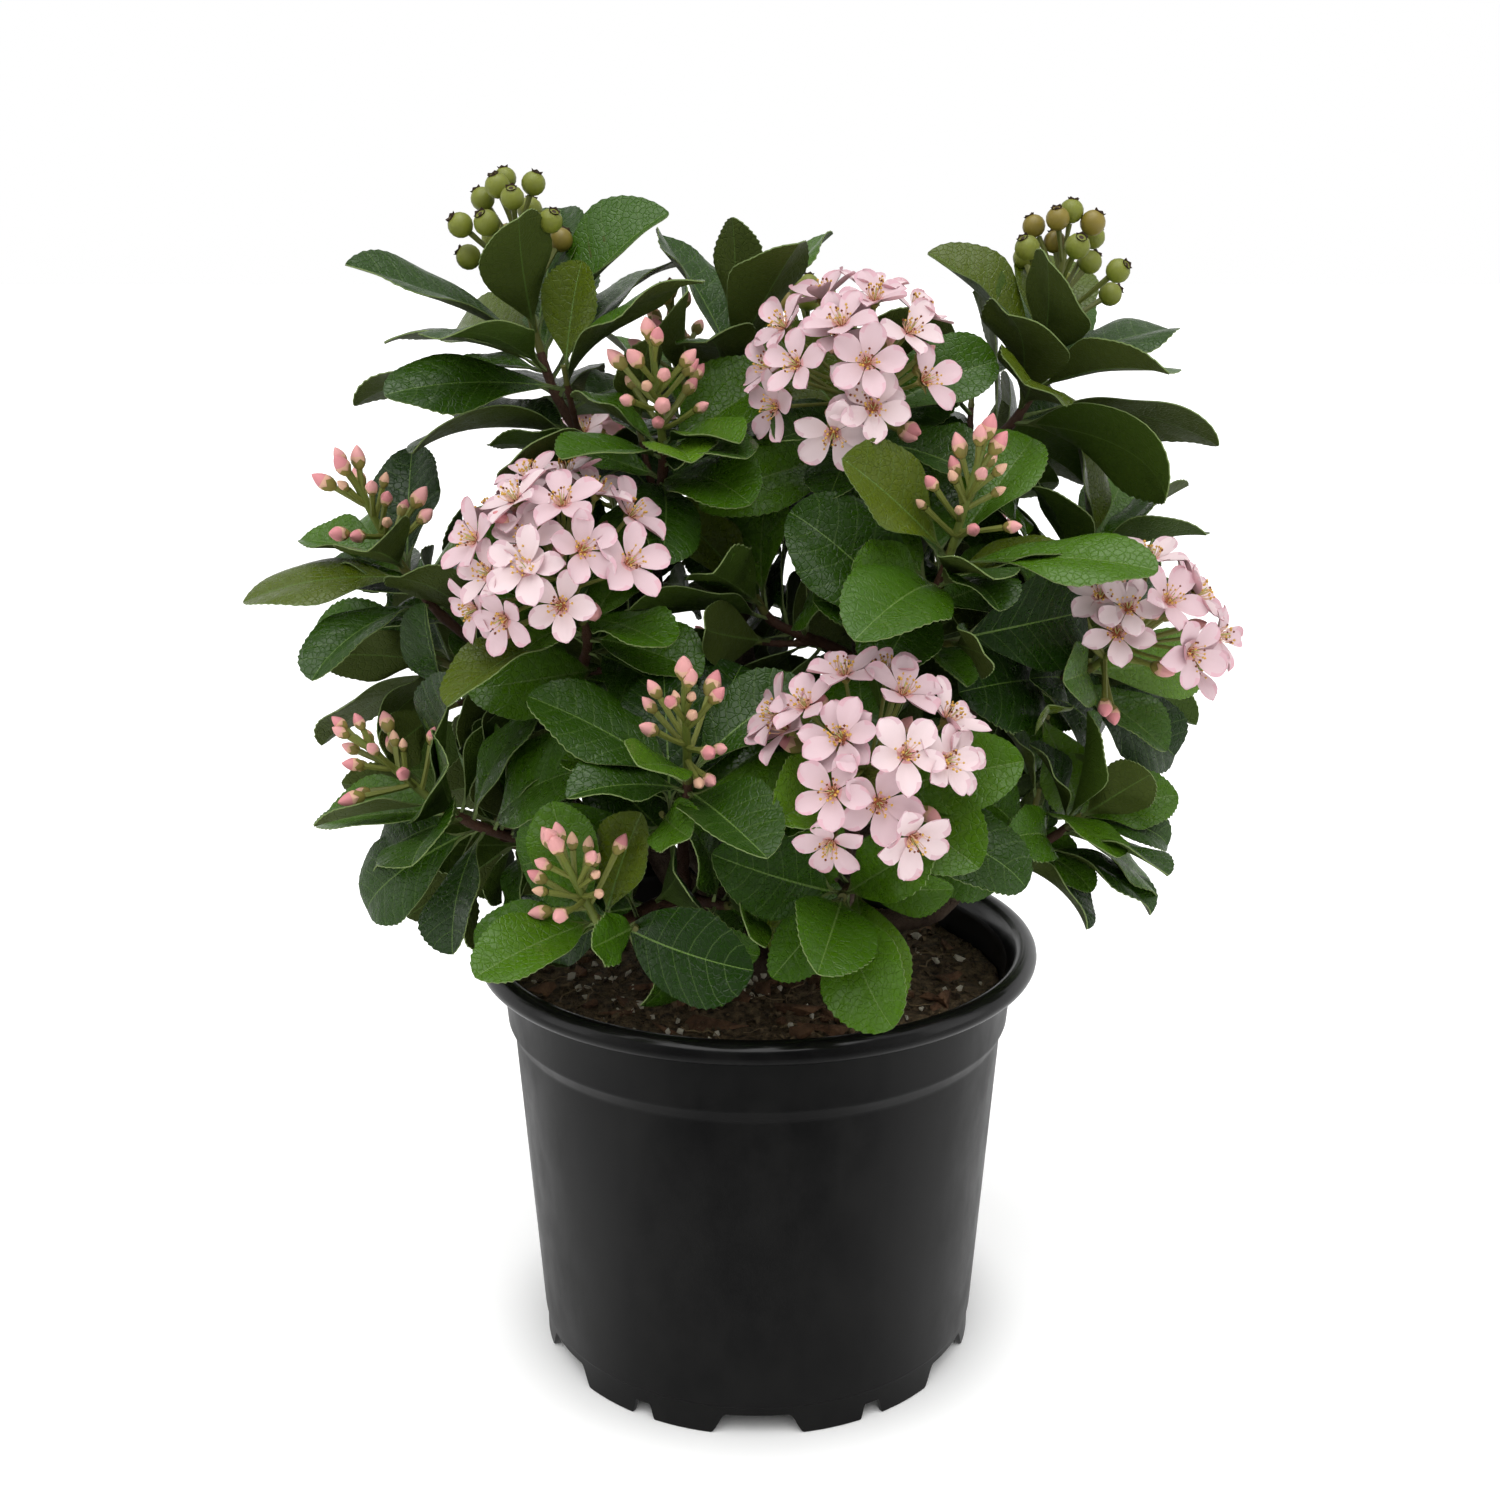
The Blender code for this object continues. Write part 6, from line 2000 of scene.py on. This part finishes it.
def build_leaves():
    """Every leaf, in one piece for each side of the crown, which stands for that side's masses."""
    plant = grown_plant()
    sides = {}
    for shoot in SHOOTS:
        sides.setdefault(region(shoot), []).append(shoot)
    for side, shoots in sides.items():
        sheets = Sheets()
        for shoot in shoots:
            for number, (_, (leaf, age)) in enumerate(plant.records("leaf", [shoot.name])):
                rng = Random(f"{shoot.name} looks {number}")
                underside = rng.choice(("underside", "underside_dark"))
                add_leaf(sheets, leaf, leaf_tone(rng, shoot, age), underside, rng, age)
        fit(sheets.build(f"foliage_{side}"), "foliage", *[shoot.name for shoot in shoots])


def build_crop(name, kind, crops, stalk_finish, add, sharp=None):
    """All the pieces of one kind, with the main stalks of the first of the crops that bear them."""
    plant, sheets = grown_plant(), Sheets()
    for shoot in SHOOTS:
        if shoot.crop == crops[0]:
            for _, stalk in plant.records("crop", [shoot.name]):
                radii = spread([stalk.radii[0], stalk.radii[1] * 0.75], 6)
                sheets.tube(smooth_path(stalk.path, 6), radii, 8, stalk_finish)
        if shoot.crop in crops:
            for number, (_, record) in enumerate(plant.records(kind, [shoot.name])):
                add(sheets, record, Random(f"{shoot.name} {kind} {number}"))
    return fit(sheets.build(name, sharp=sharp), "foliage")


# The stage


CAMERA_PLACE = (0.0, -0.511, 0.321)
CAMERA_TILT = 0.265  # radians below level
CAMERA_LENS = 43.8
CAMERA_SHIFT = -0.005


def build_camera():
    """The camera, in front of the plant and a little above it."""
    data = bpy.data.cameras.new("Camera")
    data.lens, data.sensor_width, data.shift_x = CAMERA_LENS, 36.0, CAMERA_SHIFT
    camera = add_object("Camera", data)
    camera.location = CAMERA_PLACE
    camera.rotation_euler = (pi / 2 - CAMERA_TILT, 0, 0)
    bpy.context.scene.camera = camera


def build_floor(size):
    """The floor, level with the pot's feet."""
    mesh = bpy.data.meshes.new("floor")
    half = size / 2
    corners = [(-half, -half, 0), (half, -half, 0), (half, half, 0), (-half, half, 0)]
    mesh.from_pydata(corners, [], [(0, 1, 2, 3)])
    mesh.materials.append(material("floor"))
    floor = add_object("floor", mesh)


def add_sun(name, came_from, strength, softness, glossy=True):
    """A soft light from far off."""
    data = bpy.data.lights.new(name, "SUN")
    data.energy, data.angle = strength, radians(softness)
    light = add_object(name, data)
    light.rotation_euler = Vector(came_from).to_track_quat("Z", "Y").to_euler()
    light.visible_glossy = glossy


def add_strip(name, place, power):
    """A tall soft light that faces the pot's axis."""
    data = bpy.data.lights.new(name, "AREA")
    data.shape, data.size, data.size_y, data.energy = "RECTANGLE", 0.35, 1.1, power
    light = add_object(name, data)
    light.location = place
    toward = Vector(place) - UP * (place[2] * 0.5)
    light.rotation_euler = toward.to_track_quat("Z", "Y").to_euler()
    light.visible_camera = False


def room_gloss(tree, place):
    """What glossy pieces see at a place round them: white behind and beside the plant, dark in front, and
    one soft light overhead."""
    way = add_node(tree, "VectorMath", {0: place}, operation="NORMALIZE")
    far = add_node(tree, "VectorMath", {0: place}, "Value", operation="LENGTH")
    forth = add_node(tree, "SeparateXYZ", {0: way}, "Y")
    rise = add_node(tree, "SeparateXYZ", {0: way}, "Z")
    total = map_range(tree, forth, -1.0, -0.3, 0.02, 0.34)
    for operation, share in (
        ("ADD", map_range(tree, forth, -0.3, 0.9, 0.0, 0.45)),
        ("MULTIPLY", map_range(tree, rise, 0.25, 0.6, 1.0, 0.45)),
        ("ADD", map_range(tree, far, 0.12, 0.30, 0.16, 0.0)),
        ("ADD", map_range(tree, rise, 0.84, 0.97, 0.0, 1.1)),
    ):
        total = add_node(tree, "VectorMath", {0: total, 1: share}, operation=operation)
    return total


def map_range(tree, source, low, high, start, end):
    """Turns low..high of a value into start..end."""
    ranges = {"Value": source, "From Min": low, "From Max": high, "To Min": start, "To Max": end}
    return add_node(tree, "MapRange", ranges, interpolation_type="SMOOTHSTEP")


def build_sky(strength):
    """White behind the plant for the camera. Its light comes from overhead, and gloss shows a white
    wall behind the plant and a dark room in front of it."""
    world = bpy.data.worlds.new("Studio")
    bpy.context.scene.world = world
    world.use_nodes = True
    tree = world.node_tree
    way = add_node(tree, "TexCoord", {}, "Generated")
    rise = add_node(tree, "SeparateXYZ", {0: way}, "Z")
    lit = tree.nodes["Background"]
    lit.inputs["Color"].default_value = (1, 1, 1, 1)
    tree.links.new(map_range(tree, rise, 0.0, 0.8, 0.12 * strength, strength), lit.inputs["Strength"])
    shown = lit.outputs[0]
    for ray, seen in (("Is Glossy Ray", room_gloss(tree, way)), ("Is Camera Ray", (1, 1, 1, 1))):
        seen = add_node(tree, "Background", {"Color": seen})
        shown = add_node(tree, "MixShader", {0: add_node(tree, "LightPath", {}, ray), 1: shown, 2: seen})
    tree.links.new(shown, tree.nodes["World Output"].inputs["Surface"])


# Operators


class HAWTHORN_OT_pot(bpy.types.Operator):
    """Build the nursery pot"""

    bl_idname = "hawthorn.pot"
    bl_label = "Nursery Pot"

    def execute(self, context):
        build_pot()
        return {"FINISHED"}


class HAWTHORN_OT_soil(bpy.types.Operator):
    """Fill the pot with soil, bark chips, perlite and fine roots"""

    bl_idname = "hawthorn.soil"
    bl_label = "Soil"

    def execute(self, context):
        build_soil()
        build_litter()
        return {"FINISHED"}


class HAWTHORN_OT_wood(bpy.types.Operator):
    """Build the trunk, the boughs and the shoots' stems and twigs"""

    bl_idname = "hawthorn.wood"
    bl_label = "Trunk, Boughs and Twigs"

    def execute(self, context):
        build_trunk()
        build_boughs()
        build_twigs()
        return {"FINISHED"}


class HAWTHORN_OT_leaves(bpy.types.Operator):
    """Build the leaves"""

    bl_idname = "hawthorn.leaves"
    bl_label = "Leaves"

    def execute(self, context):
        build_leaves()
        return {"FINISHED"}


class HAWTHORN_OT_blossom(bpy.types.Operator):
    """Build the open flowers"""

    bl_idname = "hawthorn.blossom"
    bl_label = "Blossom"

    def execute(self, context):
        build_crop("blossom", "flower", ("blossom",), "flower_stalk", add_flower)
        return {"FINISHED"}


class HAWTHORN_OT_buds(bpy.types.Operator):
    """Build the flower buds"""

    bl_idname = "hawthorn.buds"
    bl_label = "Flower Buds"

    def execute(self, context):
        build_crop("flower_buds", "bud", ("buds", "blossom"), "flower_stalk", add_bud, sharp=50)
        return {"FINISHED"}


class HAWTHORN_OT_berries(bpy.types.Operator):
    """Build the young berries"""

    bl_idname = "hawthorn.berries"
    bl_label = "Berries"

    def execute(self, context):
        build_crop("berries", "berry", ("berries",), "berry_stalk", add_berry, sharp=50)
        return {"FINISHED"}


class HAWTHORN_OT_stage(bpy.types.Operator):
    """Set up the floor, the lights, the white surroundings and the camera"""

    bl_idname = "hawthorn.stage"
    bl_label = "Stage"

    def execute(self, context):
        settings = context.scene.hawthorn_stage
        build_floor(settings.floor_size)
        build_sky(settings.sky)
        add_sun("Key", (-0.10, -0.38, 1.0), settings.key, 70)
        add_sun("Fill", (0.3, -0.9, 0.5), settings.fill, 100, glossy=False)
        add_strip("Left strip", (-0.75, -0.2, 0.4), settings.side)
        add_strip("Right strip", (0.75, -0.15, 0.4), settings.side)
        build_camera()
        context.scene.view_settings.view_transform = "Standard"
        return {"FINISHED"}


class HAWTHORN_PT_panel(bpy.types.Panel):
    bl_idname = "HAWTHORN_PT_panel"
    bl_label = "Potted Indian Hawthorn"
    bl_space_type = "VIEW_3D"
    bl_region_type = "UI"
    bl_category = "Hawthorn"

    def draw(self, context):
        for operator in OPERATORS:
            self.layout.operator(operator.bl_idname)
        for group, settings in SETTINGS.items():
            box = self.layout.box()
            for name in settings.__annotations__:
                box.prop(getattr(context.scene, group), name)


OPERATORS = (
    HAWTHORN_OT_pot,
    HAWTHORN_OT_soil,
    HAWTHORN_OT_wood,
    HAWTHORN_OT_leaves,
    HAWTHORN_OT_blossom,
    HAWTHORN_OT_buds,
    HAWTHORN_OT_berries,
    HAWTHORN_OT_stage,
)
CLASSES = (*SETTINGS.values(), *OPERATORS, HAWTHORN_PT_panel)


def register():
    for cls in CLASSES:
        bpy.utils.register_class(cls)
    for name, group in SETTINGS.items():
        setattr(bpy.types.Scene, name, PointerProperty(type=group))


def unregister():
    for name in SETTINGS:
        delattr(bpy.types.Scene, name)
    for cls in reversed(CLASSES):
        bpy.utils.unregister_class(cls)


def main():
    register()
    for operator in OPERATORS:
        group, name = operator.bl_idname.split(".")
        getattr(getattr(bpy.ops, group), name)()


if __name__ == "__main__":
    main()
